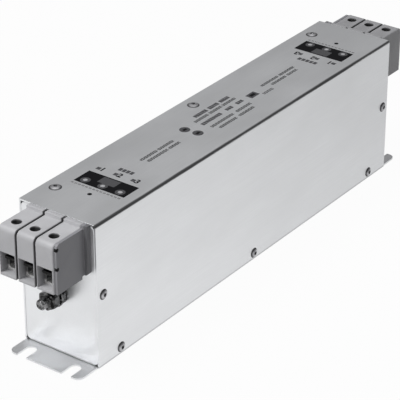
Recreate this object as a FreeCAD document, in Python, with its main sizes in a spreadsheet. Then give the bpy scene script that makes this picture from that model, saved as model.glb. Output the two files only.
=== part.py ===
import FreeCAD, Part
import Sketcher
import math
import os

# Three-phase mains filter in a book-shaped sheet-metal case.
# X runs across the case, Y along it and Z up; the origin is under the middle of the base.
# Lengths are millimetres. "Front" is the end at -Y and "rear" the end at +Y.

document = FreeCAD.newDocument("line_filter")
sheet = document.addObject("Spreadsheet::Sheet", "Sizes")
sub_parts = []


class Size:
    """A length that remembers the sheet expression it comes from."""

    def __init__(self, value, text):
        self.value = value
        self.text = text

    def __add__(self, other):
        other = as_size(other)
        return Size(self.value + other.value, f"({self.text} + {other.text})")

    def __sub__(self, other):
        other = as_size(other)
        return Size(self.value - other.value, f"({self.text} - {other.text})")

    def __mul__(self, factor):
        return Size(self.value * factor, f"({self.text} * {factor:g})")

    def __truediv__(self, divisor):
        return Size(self.value / divisor, f"({self.text} / {divisor:g})")

    def __neg__(self):
        return Size(-self.value, f"(0 - {self.text})")


def as_size(amount):
    """Return the amount as a Size."""
    if isinstance(amount, Size):
        return amount
    return Size(float(amount), f"{amount:g}")


def size(alias, value, meaning):
    """Write one driving size into the next row of the sheet."""
    row = len(sheet.getUsedCells()) // 2 + 1
    sheet.set(f"A{row}", meaning)
    sheet.set(f"B{row}", str(value))
    sheet.setAlias(f"B{row}", alias)
    return Size(float(value), f"Sizes.{alias}")


# Case
case_length = size("case_length", 280, "end wall to end wall, outside")
case_width = size("case_width", 50, "outside width")
case_height = size("case_height", 85, "base to lid, outside")
sheet_thick = size("sheet_thick", 1.0, "sheet metal")
bend_radius = size("bend_radius", 2.0, "outside radius of the folds")
rim_depth = size("rim_depth", 10, "folded rim of an end wall")
rim_corner = size("rim_corner", 3, "corner radius of an end wall")
rim_round = size("rim_round", 0.4, "rounding between an end wall's face and its rim")
fold_relief = size("fold_relief", 1.0, "gap between a fold of the tray and an end wall's rim")
lip_height = size("lip_height", 9, "upstand along the open side of the base")
return_width = size("return_width", 14, "flange of the tray that carries the lid")
skirt_clear = size("skirt_clear", 0.5, "cover's side above the mounting surface")

# Mounting flanges
flange_reach = size("flange_reach", 15, "base past an end wall")
flange_setback = size("flange_setback", 1, "flange's side in from the case's side")
flange_corner = size("flange_corner", 4, "rounding of the flange corners")
slot_across = size("slot_across", 30, "slot spacing across the case")
slot_out = size("slot_out", 7.5, "slot centre past an end wall")
slot_width = size("slot_width", 6.5, "width of a mounting slot")

# Rivets of the cover
rivet_shank = size("rivet_shank", 3.2, "rivet hole and shank diameter")
rivet_tail = size("rivet_tail", 4.2, "diameter of the formed tail")
tail_length = size("tail_length", 1.4, "length of the formed tail")
mandrel_hole = size("mandrel_hole", 2.2, "recess in a rivet head")
mandrel_depth = size("mandrel_depth", 0.7, "depth of that recess")
side_head = size("side_head", 6.0, "rivet head on the side, diameter")
side_head_rise = size("side_head_rise", 1.1, "rivet head on the side, height")
lid_head = size("lid_head", 7.0, "rivet head on the lid, diameter")
lid_head_rise = size("lid_head_rise", 0.9, "rivet head on the lid, height")
low_rivet_rise = size("low_rivet_rise", 4.4, "low side rivets above the base")
low_rivet_inset = size("low_rivet_inset", 18.5, "low side rivets in from the end walls")
end_rivet_inset = size("end_rivet_inset", 5, "end rivets in from the end walls")
end_rivet_rise = size("end_rivet_rise", 43, "end rivets above the base")
lid_rivet_edge = size("lid_rivet_edge", 7.5, "lid rivets in from the left edge")
lid_rivet_inset = size("lid_rivet_inset", 20, "lid rivets in from the end walls")
rivet_count = 3

# Terminals
pole_count = 3
pole_pitch = size("pole_pitch", 12.2, "terminal spacing")
pole_gap = size("pole_gap", 0.9, "gap between terminal housings")
pole_reach = size("pole_reach", 25, "housing past the end wall")
pole_drop = size("pole_drop", 2, "housing top below the lid")
pole_height = size("pole_height", 28.5, "housing height")
pole_round = size("pole_round", 3, "rounding of the top front edge")
pole_edge = size("pole_edge", 0.4, "bevel of the housing's side edges")
heel_length = size("heel_length", 4.5, "raised underside next to the wall")
heel_rise = size("heel_rise", 1.7, "height of that raised underside")
collar_thick = size("collar_thick", 3, "collar that seats on the wall")
collar_drop = size("collar_drop", 0.3, "collar top below the lid")
neck_length = size("neck_length", 18, "housing inside the case")
neck_width = size("neck_width", 9.6, "width of the inner housing")
neck_height = size("neck_height", 19, "height of the inner housing")
neck_drop = size("neck_drop", 3.2, "inner housing below the outer top")
neck_clear = size("neck_clear", 0.2, "clearance round the necks in the wall")
entry_width = size("entry_width", 9.8, "wire entry width")
entry_height = size("entry_height", 12.5, "wire entry height")
entry_lip = size("entry_lip", 1.3, "housing wall under the wire entry")
entry_depth = size("entry_depth", 18, "depth of the wire entry")
screw_inset = size("screw_inset", 8.25, "clamp screw behind the front face")
screw_hole = size("screw_hole", 5.7, "screwdriver hole diameter")
clamp_width = size("clamp_width", 9.2, "clamp cage width")
clamp_length = size("clamp_length", 6.5, "clamp cage length along the wire")
clamp_height = size("clamp_height", 11, "clamp cage height")
clamp_wall = size("clamp_wall", 1.3, "clamp cage wall")
screw_head = size("screw_head", 5.2, "clamp screw head diameter")
screw_head_tall = size("screw_head_tall", 3.0, "clamp screw head height")
screw_shank = size("screw_shank", 4.0, "clamp screw shank diameter")
screw_sink = size("screw_sink", 3.0, "screw head below the housing top")
screw_slot = size("screw_slot", 1.0, "screwdriver slot width")
screw_slot_deep = size("screw_slot_deep", 1.3, "screwdriver slot depth")
bar_width = size("bar_width", 6, "contact bar width")
bar_thick = size("bar_thick", 1.5, "contact bar thickness")
bar_clear = size("bar_clear", 0.1, "clearance round a contact bar")
bar_tag = size("bar_tag", 4, "solder tag past the inner housing")
plate_thick = size("plate_thick", 1.6, "end plate of a terminal row")
plate_setback = size("plate_setback", 1.0, "end plate behind the housing front")
foot_reach = size("foot_reach", 2.3, "foot of the end plate, sideways")
foot_corner = size("foot_corner", 2, "rounding of the foot")
peg_diameter = size("peg_diameter", 2.0, "snap notch in the end plate")
peg_depth = size("peg_depth", 1.1, "depth of a snap notch")
peg_inset = size("peg_inset", 0.7, "snap notch behind the plate's front edge")
peg_drop = size("peg_drop", 3, "upper snap notch below the plate's top")
peg_spacing = size("peg_spacing", 11, "upper to lower snap notch")

# Protective-earth studs
stud_diameter = size("stud_diameter", 6, "thread diameter")
stud_rise = size("stud_rise", 37.5, "stud above the base")
stud_reach = size("stud_reach", 16, "stud past the end wall")
stud_bevel = size("stud_bevel", 0.8, "bevel at the stud's tip")
stud_flange = size("stud_flange", 10, "pressed-in head, diameter")
stud_flange_thick = size("stud_flange_thick", 1.5, "pressed-in head, thickness")
bore_clear = size("bore_clear", 0.2, "radial clearance of washers and wall round the stud")
nut_across = size("nut_across", 10, "nut across flats")
nut_tall = size("nut_tall", 5, "earth nut height")
thin_nut_tall = size("thin_nut_tall", 3, "fixing nut height")
nut_bevel = size("nut_bevel", 0.6, "bevel of the nut corners")
washer_outer = size("washer_outer", 12, "plain washer outside diameter")
washer_thick = size("washer_thick", 1.2, "plain washer thickness")
toothed_outer = size("toothed_outer", 11, "toothed washer outside diameter")
toothed_thick = size("toothed_thick", 0.8, "toothed washer thickness")
tooth_gap = size("tooth_gap", 1.5, "gap between two teeth")
tooth_depth = size("tooth_depth", 1.5, "radial length of a tooth")
tooth_count = 10

# Circuit inside the case
board_gap = size("board_gap", 22, "circuit board's end to the end wall")
board_side_gap = size("board_side_gap", 4, "circuit board's side to the case's side, outside")
board_thick = size("board_thick", 1.6, "circuit board thickness")
board_rise = size("board_rise", 9, "underside of the board above the base plate")
post_diameter = size("post_diameter", 6, "board post diameter")
post_edge = size("post_edge", 5, "posts in from the board's sides")
post_inset = size("post_inset", 18, "end posts in from the board's end")
post_rows = 3
liner_thick = size("liner_thick", 0.5, "insulating liner")
liner_gap = size("liner_gap", 3, "liner's end to an end wall's rim")
liner_height = size("liner_height", 60, "liner height up the left wall")
liner_side_gap = size("liner_side_gap", 2, "liner's free edge to the lip of the base")
core_outer = size("core_outer", 56, "choke core outside diameter")
core_bore = size("core_bore", 32, "choke core bore")
core_width = size("core_width", 22, "choke core width")
core_bevel = size("core_bevel", 1.2, "bevel of the core's edges")
winding_thick = size("winding_thick", 3.4, "winding thickness on the core")
winding_clear = size("winding_clear", 0.2, "winding to core clearance")
winding_span = size("winding_span", 96, "angle of one winding, degrees")
turn_gap = size("turn_gap", 0.6, "groove between two turns")
turn_depth = size("turn_depth", 0.9, "depth of that groove")
turn_count = 9
arm_thick = size("arm_thick", 1.6, "phase separator arm")
arm_clear = size("arm_clear", 0.2, "separator to core bore")
cradle_length = size("cradle_length", 40, "choke cradle length")
cradle_width = size("cradle_width", 34, "choke cradle width")
cradle_floor = size("cradle_floor", 3, "cradle under the choke")
cradle_cheek = size("cradle_cheek", 7, "cradle height beside the choke")
capacitor_pitch = size("capacitor_pitch", 13.2, "capacitor spacing across")
capacitor_width = size("capacitor_width", 12.6, "capacitor width")
capacitor_length = size("capacitor_length", 31, "capacitor length")
capacitor_height = size("capacitor_height", 26, "capacitor height")
capacitor_round = size("capacitor_round", 1.0, "capacitor edge rounding")
capacitor_inset = size("capacitor_inset", 52, "capacitors in from the board's end")
earth_cap_width = size("earth_cap_width", 18, "earth capacitor width")
earth_cap_length = size("earth_cap_length", 8, "earth capacitor length")
earth_cap_height = size("earth_cap_height", 15, "earth capacitor height")
earth_cap_inset = size("earth_cap_inset", 27, "earth capacitor in from the board's end")
resistor_diameter = size("resistor_diameter", 4.4, "bleed resistor diameter")
resistor_length = size("resistor_length", 11, "bleed resistor length")
resistor_inset = size("resistor_inset", 22.5, "bleed resistors in from the board's end")
link_width = size("link_width", 6, "width of a copper link")
link_thick = size("link_thick", 1.2, "thickness of a copper link")
link_bend = size("link_bend", 4, "inside radius of a copper link's bend")
link_inset = size("link_inset", 12, "copper links in from the board's end")
strap_inset = size("strap_inset", 3, "earth strap in from the board's end")

# Places that several pieces share
half_width = case_width / 2
half_length = case_length / 2
inner_top = case_height - sheet_thick
inner_side = half_width - sheet_thick
fold_end = half_length - rim_depth - fold_relief
liner_end = half_length - rim_depth - liner_gap
liner_edge = inner_side - sheet_thick - liner_side_gap
board_end = half_length - board_gap
board_side = half_width - board_side_gap
pole_top = case_height - pole_drop
pole_bottom = pole_top - pole_height
heel_bottom = pole_bottom + heel_rise
collar_top = case_height - collar_drop
neck_top = pole_top - neck_drop
neck_bottom = neck_top - neck_height
pole_width = pole_pitch - pole_gap
entry_floor = pole_bottom + entry_lip
entry_ceiling = entry_floor + entry_height
clamp_top = entry_floor + clamp_height
screw_place = screw_inset - pole_reach
bar_top = clamp_top - clamp_wall - bar_clear
bar_bottom = bar_top - bar_thick
bar_front = screw_place - clamp_length
last_pole = pole_pitch * ((pole_count - 1) / 2)
row_edge = last_pole + pole_width / 2
plate_outer = row_edge + plate_thick
stud_bore = stud_diameter / 2 + bore_clear
board_bottom = sheet_thick + board_rise
board_top = board_bottom + board_thick
choke_rise = board_top + cradle_floor + winding_thick + core_outer / 2


def bind(thing, path, amount):
    """Tie a property to the sheet expression of a size."""
    thing.setExpression(path, as_size(amount).text)


def keep(thing):
    """List a finished sub-part for writing."""
    sub_parts.append(thing)
    return thing


def start_body(label):
    """Return a new body with its label."""
    body = document.addObject("PartDesign::Body", label)
    body.Label = label
    return body


def place(thing, x=0, y=0, z=0, turned=False, axis=(0, 0, 1), degrees=0):
    """Put a sub-part in the case; a turned one faces the rear end."""
    if turned:
        degrees = 180
    turn = FreeCAD.Rotation(FreeCAD.Vector(*axis), degrees)
    thing.Placement = FreeCAD.Placement(FreeCAD.Vector(), turn)
    bind(thing, "Placement.Base.x", x)
    bind(thing, "Placement.Base.y", y)
    bind(thing, "Placement.Base.z", z)


def new_sketch(body, name, plane, offset=0):
    """Return a sketch on one of the body's own planes, moved along its normal."""
    sketch = body.newObject("Sketcher::SketchObject", name)
    datum = next(item for item in body.Origin.OriginFeatures if item.Role == plane + "_Plane")
    sketch.AttachmentSupport = [(datum, "")]
    sketch.MapMode = "FlatFace"
    bind(sketch, "AttachmentOffset.Base.z", offset)
    return sketch


def fix_distance(sketch, kind, geometry, point, amount):
    """Hold one coordinate of a point at a size measured from the origin."""
    amount = as_size(amount)
    index = sketch.addConstraint(Sketcher.Constraint(kind, -1, 1, geometry, point, amount.value))
    sketch.setExpression(f"Constraints[{index}]", amount.text)


def fix_point(sketch, geometry, point, x, y):
    """Hold both coordinates of a point."""
    fix_distance(sketch, "DistanceX", geometry, point, x)
    fix_distance(sketch, "DistanceY", geometry, point, y)


def fix_radius(sketch, geometry, radius):
    """Hold the radius of a circle or an arc."""
    radius = as_size(radius)
    index = sketch.addConstraint(Sketcher.Constraint("Radius", geometry, radius.value))
    sketch.setExpression(f"Constraints[{index}]", radius.text)


def vector(point):
    """Return the plain vector of a pair of sizes."""
    return FreeCAD.Vector(as_size(point[0]).value, as_size(point[1]).value, 0)


def add_line(sketch, start, end):
    """Add a line whose two ends are held at their sizes."""
    index = sketch.addGeometry(Part.LineSegment(vector(start), vector(end)))
    fix_point(sketch, index, 1, *start)
    fix_point(sketch, index, 2, *end)
    return index


def join_arc(sketch, arc, before, after, start):
    """Join an arc to the end of one line and the start of the next."""
    first = 1 if (sketch.getPoint(arc, 1) - vector(start)).Length < 1e-6 else 2
    sketch.addConstraint(Sketcher.Constraint("Coincident", before, 2, arc, first))
    sketch.addConstraint(Sketcher.Constraint("Coincident", after, 1, arc, 3 - first))


def add_outline(sketch, corners):
    """Add a closed outline.

    Each corner is (x, y) or, where two square edges meet in a round, (x, y, radius).
    """
    count = len(corners)
    leave = []
    arrive = []
    for number, corner in enumerate(corners):
        here = vector(corner)
        if len(corner) == 2:
            arrive.append(corner)
            leave.append(corner)
            continue
        radius = as_size(corner[2])
        back = (vector(corners[number - 1]) - here).normalize()
        ahead = (vector(corners[(number + 1) % count]) - here).normalize()
        x, y = as_size(corner[0]), as_size(corner[1])
        arrive.append((x + radius * round(back.x), y + radius * round(back.y)))
        leave.append((x + radius * round(ahead.x), y + radius * round(ahead.y)))
    lines = [add_line(sketch, leave[n], arrive[(n + 1) % count]) for n in range(count)]
    for number, corner in enumerate(corners):
        if len(corner) == 2:
            continue
        radius = as_size(corner[2]).value
        start, end = vector(arrive[number]), vector(leave[number])
        here = vector(corner)
        centre = start + end - here
        middle = centre + (here - centre).normalize() * radius
        arc = sketch.addGeometry(Part.Arc(start, middle, end))
        join_arc(sketch, arc, lines[number - 1], lines[number], arrive[number])
        fix_radius(sketch, arc, corner[2])


def add_circle(sketch, x, y, radius):
    """Add a circle held at its centre and radius."""
    radius = as_size(radius)
    axis = FreeCAD.Vector(0, 0, 1)
    index = sketch.addGeometry(Part.Circle(vector((x, y)), axis, radius.value))
    fix_point(sketch, index, 3, x, y)
    fix_radius(sketch, index, radius)


def add_block(sketch, left, right, low, high):
    """Add a rectangle from its four sides."""
    add_outline(sketch, [(left, low), (right, low), (right, high), (left, high)])


def add_slot(sketch, middle, width, mouth, seat):
    """Add a slot that is open at the mouth and half round about the seat."""
    left, right = middle - width / 2, middle + width / 2
    far = add_line(sketch, (left, mouth), (left, seat))
    near = add_line(sketch, (right, seat), (right, mouth))
    add_line(sketch, (right, mouth), (left, mouth))
    inward = math.copysign(width.value / 2, seat.value - mouth.value)
    crown = vector((middle, seat)) + FreeCAD.Vector(0, inward, 0)
    arc = sketch.addGeometry(Part.Arc(vector((left, seat)), crown, vector((right, seat))))
    join_arc(sketch, arc, far, near, (left, seat))
    fix_distance(sketch, "DistanceY", arc, 3, seat)


def pad(body, sketch, length, both_ways=False, backwards=False):
    """Pad a sketch along its plane's normal."""
    feature = body.newObject("PartDesign::Pad", sketch.Name + "_pad")
    feature.Profile = sketch
    feature.SideType = "Symmetric" if both_ways else "One side"
    feature.Reversed = backwards
    bind(feature, "Length", length)
    return feature


def pocket(body, sketch, length, both_ways=False, backwards=False):
    """Cut a sketch against its plane's normal."""
    feature = body.newObject("PartDesign::Pocket", sketch.Name + "_cut")
    feature.Profile = sketch
    feature.SideType = "Symmetric" if both_ways else "One side"
    feature.Reversed = backwards
    bind(feature, "Length", length)
    return feature


def revolve(body, sketch, axis, degrees=360):
    """Turn a sketch about one of its own axes."""
    feature = body.newObject("PartDesign::Revolution", sketch.Name + "_turned")
    feature.Profile = sketch
    feature.ReferenceAxis = (sketch, [axis])
    bind(feature, "Angle", degrees)
    return feature


def groove(body, sketch, axis):
    """Cut a sketch turned fully about one of its own axes."""
    feature = body.newObject("PartDesign::Groove", sketch.Name + "_turned_off")
    feature.Profile = sketch
    feature.ReferenceAxis = (sketch, [axis])
    feature.Angle = 360
    return feature


def repeat_round(body, feature, sketch, count, degrees=360):
    """Repeat a feature about the normal of a sketch through the origin."""
    pattern = body.newObject("PartDesign::PolarPattern", feature.Name + "_round")
    pattern.Originals = [feature]
    pattern.Axis = (sketch, ["N_Axis"])
    bind(pattern, "Angle", degrees)
    pattern.Occurrences = count
    body.Tip = pattern
    return pattern


def mirror(body, features, plane):
    """Mirror features in one of the body's own planes."""
    pattern = body.newObject("PartDesign::Mirrored", features[-1].Name + "_mirrored")
    pattern.Originals = features
    datum = next(item for item in body.Origin.OriginFeatures if item.Role == plane + "_Plane")
    pattern.MirrorPlane = (datum, [""])
    body.Tip = pattern
    return pattern


def dress_edges(body, kind, feature, wanted, amount):
    """Fillet or chamfer the edges of a feature that the test picks."""
    document.recompute()
    names = [f"Edge{n + 1}" for n, edge in enumerate(feature.Shape.Edges) if wanted(edge)]
    dressed = body.newObject("PartDesign::" + kind, feature.Name + "_" + kind.lower())
    dressed.Base = (feature, names)
    bind(dressed, "Radius" if kind == "Fillet" else "Size", amount)
    return dressed


def lies_at(edge, axis, amounts):
    """Say whether a whole edge lies at one of the given places along an axis."""
    box = edge.BoundBox
    low, high = getattr(box, axis + "Min"), getattr(box, axis + "Max")
    return any(abs(low - a.value) < 1e-4 and abs(high - a.value) < 1e-4 for a in amounts)


def block(label, left, right, back, front, low, high):
    """Return a plain block from its six sides."""
    solid = document.addObject("Part::Box", label)
    solid.Label = label
    bind(solid, "Length", as_size(right) - left)
    bind(solid, "Width", as_size(front) - back)
    bind(solid, "Height", as_size(high) - low)
    place(solid, left, back, low)
    return solid


def rod(label, radius, length, x=0, y=0, z=0, axis=(0, 0, 1), degrees=0):
    """Return a plain cylinder that starts at the given place."""
    solid = document.addObject("Part::Cylinder", label)
    solid.Label = label
    bind(solid, "Radius", radius)
    bind(solid, "Height", length)
    place(solid, x, y, z, axis=axis, degrees=degrees)
    return solid


def group(label, members):
    """Return separate solids as one sub-part."""
    result = document.addObject("Part::Compound", label)
    result.Label = label
    result.Links = members
    return result


def spread(count, span):
    """Return evenly spread places about zero."""
    return [span * (n / (count - 1) - 0.5) for n in range(count)]


def pole_places():
    """Return the places of the terminals in their row."""
    return [pole_pitch * (n - (pole_count - 1) / 2) for n in range(pole_count)]


def ends():
    """Yield each end's name, the wall's place and whether it faces the rear."""
    yield "front", -half_length, False
    yield "rear", half_length, True


def make_base_tray():
    """Base, left wall, lid flange and the lip for the cover, folded from one sheet."""
    body = start_body("base_tray")
    inner_bend = bend_radius - sheet_thick

    middle = new_sketch(body, "tray_section", "XZ")
    add_outline(middle, [
        (inner_side, lip_height),
        (inner_side, 0, bend_radius),
        (-half_width, 0, bend_radius),
        (-half_width, inner_top, bend_radius),
        (return_width - half_width, inner_top),
        (return_width - half_width, inner_top - sheet_thick),
        (-inner_side, inner_top - sheet_thick, inner_bend),
        (-inner_side, sheet_thick, inner_bend),
        (inner_side - sheet_thick, sheet_thick, inner_bend),
        (inner_side - sheet_thick, lip_height),
    ])
    pad(body, middle, fold_end * 2, both_ways=True)

    end = new_sketch(body, "tray_end_section", "XZ", fold_end)
    add_outline(end, [
        (inner_side, 0),
        (-half_width, 0, bend_radius),
        (-half_width, inner_top),
        (-inner_side, inner_top),
        (-inner_side, sheet_thick, inner_bend),
        (inner_side, sheet_thick),
    ])
    end_pad = pad(body, end, half_length - fold_end)

    flange = new_sketch(body, "tray_flange", "XY")
    tip = -half_length - flange_reach
    flange_side = half_width - flange_setback
    add_outline(flange, [
        (-flange_side, -half_length),
        (-flange_side, tip, flange_corner),
        (flange_side, tip, flange_corner),
        (flange_side, -half_length),
    ])
    flange_pad = pad(body, flange, sheet_thick)
    mirror(body, [end_pad, flange_pad], "XZ")

    slots = new_sketch(body, "tray_slots", "XY")
    for across in spread(2, slot_across):
        for side in (-1, 1):
            mouth = (half_length + flange_reach + slot_width / 2) * side
            add_slot(slots, across, slot_width, mouth, (half_length + slot_out) * side)
    pocket(body, slots, sheet_thick, backwards=True)

    lid_holes = new_sketch(body, "tray_lid_holes", "XY", case_height)
    for along in spread(rivet_count, case_length - lid_rivet_inset * 2):
        add_circle(lid_holes, lid_rivet_edge - half_width, along, rivet_shank / 2)
    pocket(body, lid_holes, sheet_thick * 3)

    lip_holes = new_sketch(body, "tray_lip_holes", "YZ", half_width)
    for along in spread(rivet_count, case_length - low_rivet_inset * 2):
        add_circle(lip_holes, along, low_rivet_rise, rivet_shank / 2)
    pocket(body, lip_holes, sheet_thick * 3)
    return keep(body)


def make_cover():
    """Lid and right side folded from one sheet."""
    body = start_body("cover")
    section = new_sketch(body, "cover_section", "XZ")
    add_outline(section, [
        (-half_width, inner_top),
        (-half_width, case_height),
        (half_width, case_height, bend_radius),
        (half_width, skirt_clear),
        (inner_side, skirt_clear),
        (inner_side, inner_top, bend_radius - sheet_thick),
    ])
    pad(body, section, case_length, both_ways=True)

    lid_holes = new_sketch(body, "cover_lid_holes", "XY", case_height)
    for along in spread(rivet_count, case_length - lid_rivet_inset * 2):
        add_circle(lid_holes, lid_rivet_edge - half_width, along, rivet_shank / 2)
    pocket(body, lid_holes, sheet_thick)

    side_holes = new_sketch(body, "cover_side_holes", "YZ", half_width)
    for along in spread(rivet_count, case_length - low_rivet_inset * 2):
        add_circle(side_holes, along, low_rivet_rise, rivet_shank / 2)
    for along in spread(2, case_length - end_rivet_inset * 2):
        add_circle(side_holes, along, end_rivet_rise, rivet_shank / 2)
    pocket(body, side_holes, sheet_thick)
    return keep(body)


def make_end_wall(end, wall, turned):
    """Pressed end wall with a rim, the terminal opening and the stud hole."""
    body = start_body(end + "_end_wall")
    face = new_sketch(body, end + "_wall_face", "XZ")
    add_outline(face, [
        (-inner_side, sheet_thick, rim_corner),
        (inner_side, sheet_thick, rim_corner),
        (inner_side, inner_top, rim_corner),
        (-inner_side, inner_top, rim_corner),
    ])
    block_pad = pad(body, face, rim_depth, backwards=True)
    document.recompute()
    open_face = next(
        f"Face{n + 1}"
        for n, side in enumerate(block_pad.Shape.Faces)
        if abs(side.BoundBox.YMin - rim_depth.value) < 1e-4
    )
    shell = body.newObject("PartDesign::Thickness", end + "_wall_shell")
    shell.Base = (block_pad, [open_face])
    shell.Reversed = True
    shell.Join = 0
    bind(shell, "Value", sheet_thick)
    dress_edges(body, "Fillet", shell, lambda edge: lies_at(edge, "Y", [as_size(0)]), rim_round)

    openings = new_sketch(body, end + "_wall_openings", "XZ")
    reach = last_pole + neck_width / 2 + neck_clear
    add_block(openings, -reach, reach, neck_bottom - neck_clear, neck_top + neck_clear)
    add_circle(openings, 0, stud_rise, stud_bore)
    pocket(body, openings, sheet_thick * 2)

    side = -1 if turned else 1
    rivet_hole = new_sketch(body, end + "_wall_rivet_hole", "YZ", half_width * side)
    add_circle(rivet_hole, end_rivet_inset, end_rivet_rise, rivet_shank / 2)
    pocket(body, rivet_hole, sheet_thick * 3, backwards=turned)
    place(body, 0, wall, 0, turned)
    return keep(body)


def make_rivet(label, head, rise, x, y, z, sideways=False):
    """Blind rivet with a domed head, its shank and the tail formed inside."""
    body = start_body(label)
    profile = new_sketch(body, label + "_profile", "XZ")
    grip = sheet_thick * 2
    recess = rise - mandrel_depth
    lines = [
        ((head / 2, 0), (rivet_shank / 2, 0)),
        ((rivet_shank / 2, 0), (rivet_shank / 2, -grip)),
        ((rivet_shank / 2, -grip), (rivet_tail / 2, -grip)),
        ((rivet_tail / 2, -grip), (rivet_tail / 2, -grip - tail_length)),
        ((rivet_tail / 2, -grip - tail_length), (0, -grip - tail_length)),
        ((0, -grip - tail_length), (0, recess)),
        ((0, recess), (mandrel_hole / 2, recess)),
        ((mandrel_hole / 2, recess), (mandrel_hole / 2, rise)),
    ]
    drawn = [add_line(profile, start, stop) for start, stop in lines]
    start, stop = vector(lines[-1][1]), vector(lines[0][0])
    centre_z = (start.y ** 2 + start.x ** 2 - stop.x ** 2) / (2 * start.y)
    radius = math.hypot(stop.x, centre_z)
    angle = (math.atan2(start.y - centre_z, start.x) + math.atan2(-centre_z, stop.x)) / 2
    crown = FreeCAD.Vector(radius * math.cos(angle), centre_z + radius * math.sin(angle), 0)
    arc = profile.addGeometry(Part.Arc(start, crown, stop))
    join_arc(profile, arc, drawn[-1], drawn[0], lines[-1][1])
    fix_distance(profile, "DistanceX", arc, 3, 0)
    revolve(body, profile, "V_Axis")
    place(body, x, y, z, axis=(0, 1, 0), degrees=90 if sideways else 0)
    return body


def make_rivets():
    """Rivets of the cover: a row on the lid, five on the side."""
    lid_row = spread(rivet_count, case_length - lid_rivet_inset * 2)
    low_row = spread(rivet_count, case_length - low_rivet_inset * 2)
    end_row = spread(2, case_length - end_rivet_inset * 2)
    lid = [
        make_rivet(f"lid_rivet_{n + 1}", lid_head, lid_head_rise,
                   lid_rivet_edge - half_width, along, case_height)
        for n, along in enumerate(lid_row)
    ]
    keep(group("lid_rivets", lid))
    places = [(along, low_rivet_rise) for along in low_row]
    places += [(along, end_rivet_rise) for along in end_row]
    side = [
        make_rivet(f"side_rivet_{n + 1}", side_head, side_head_rise,
                   half_width, along, rise, sideways=True)
        for n, (along, rise) in enumerate(places)
    ]
    keep(group("side_rivets", side))


def make_terminal(label, across, wall, turned):
    """Moulded terminal housing: body, collar, neck, wire entry and screwdriver hole."""
    body = start_body(label)
    outer = new_sketch(body, label + "_side", "YZ")
    add_outline(outer, [
        (0, heel_bottom),
        (-heel_length, heel_bottom),
        (-heel_length, pole_bottom),
        (-pole_reach, pole_bottom),
        (-pole_reach, pole_top, pole_round),
        (-collar_thick, pole_top),
        (-collar_thick, collar_top),
        (0, collar_top),
    ])
    moulding = pad(body, outer, pole_width, both_ways=True)
    sides = [pole_width / 2, -pole_width / 2]

    def outer_edge(edge):
        """Pick the side edges, apart from those on the wall."""
        return lies_at(edge, "X", sides) and edge.BoundBox.YMin < -collar_thick.value / 2

    dress_edges(body, "Chamfer", moulding, outer_edge, pole_edge)

    neck = new_sketch(body, label + "_neck", "YZ")
    add_block(neck, -collar_thick / 2, neck_length, neck_bottom, neck_top)
    pad(body, neck, neck_width, both_ways=True)

    entry = new_sketch(body, label + "_entry", "XZ", pole_reach)
    add_block(entry, -entry_width / 2, entry_width / 2, entry_floor, entry_ceiling)
    pocket(body, entry, entry_depth)

    driver = new_sketch(body, label + "_driver_hole", "XY", pole_top)
    add_circle(driver, 0, screw_place, screw_hole / 2)
    pocket(body, driver, pole_top - entry_ceiling + pole_edge)

    bar = new_sketch(body, label + "_bar_slot", "XZ", -neck_length)
    half_bar = bar_width / 2 + bar_clear
    add_block(bar, -half_bar, half_bar, bar_bottom - bar_clear, bar_top + bar_clear)
    pocket(body, bar, neck_length + pole_reach - entry_depth + pole_edge, backwards=True)
    place(body, across, wall, 0, turned)
    return keep(body)


def make_end_plate(end, wall, turned):
    """Plate that closes the last terminal of a row, with a foot against the wall."""
    body = start_body(end + "_end_plate")
    front = plate_setback - pole_reach
    side = new_sketch(body, end + "_plate_side", "YZ", row_edge)
    add_outline(side, [
        (0, heel_bottom),
        (-heel_length, heel_bottom),
        (-heel_length, pole_bottom),
        (front, pole_bottom),
        (front, pole_top, pole_round),
        (-collar_thick, pole_top),
        (-collar_thick, collar_top),
        (0, collar_top),
    ])
    pad(body, side, plate_thick)
    foot = new_sketch(body, end + "_plate_foot", "XZ")
    foot_edge = plate_outer + foot_reach
    add_outline(foot, [
        (plate_outer, heel_bottom),
        (foot_edge, heel_bottom, foot_corner),
        (foot_edge, collar_top),
        (plate_outer, collar_top),
    ])
    pad(body, foot, collar_thick)
    pegs = new_sketch(body, end + "_plate_pegs", "YZ", plate_outer)
    for drop in (peg_drop, peg_drop + peg_spacing):
        add_circle(pegs, front + peg_inset, pole_top - drop, peg_diameter / 2)
    pocket(body, pegs, peg_depth)
    place(body, 0, wall, 0, turned)
    return keep(body)


def make_clamp(label, across, wall, turned):
    """Clamp cage round the contact bar, with the hole for its screw."""
    body = start_body(label)
    cage = new_sketch(body, label + "_cage", "XZ", -screw_place)
    add_block(cage, -clamp_width / 2, clamp_width / 2, entry_floor, clamp_top)
    pad(body, cage, clamp_length, both_ways=True)
    window = new_sketch(body, label + "_window", "XZ", -screw_place)
    inside = clamp_width / 2 - clamp_wall
    add_block(window, -inside, inside, entry_floor + clamp_wall, clamp_top - clamp_wall)
    pocket(body, window, clamp_length * 2, both_ways=True)
    hole = new_sketch(body, label + "_screw_hole", "XY", clamp_top)
    add_circle(hole, 0, screw_place, screw_shank / 2 + bar_clear)
    pocket(body, hole, clamp_wall)
    place(body, across, wall, 0, turned)
    return keep(body)


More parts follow.
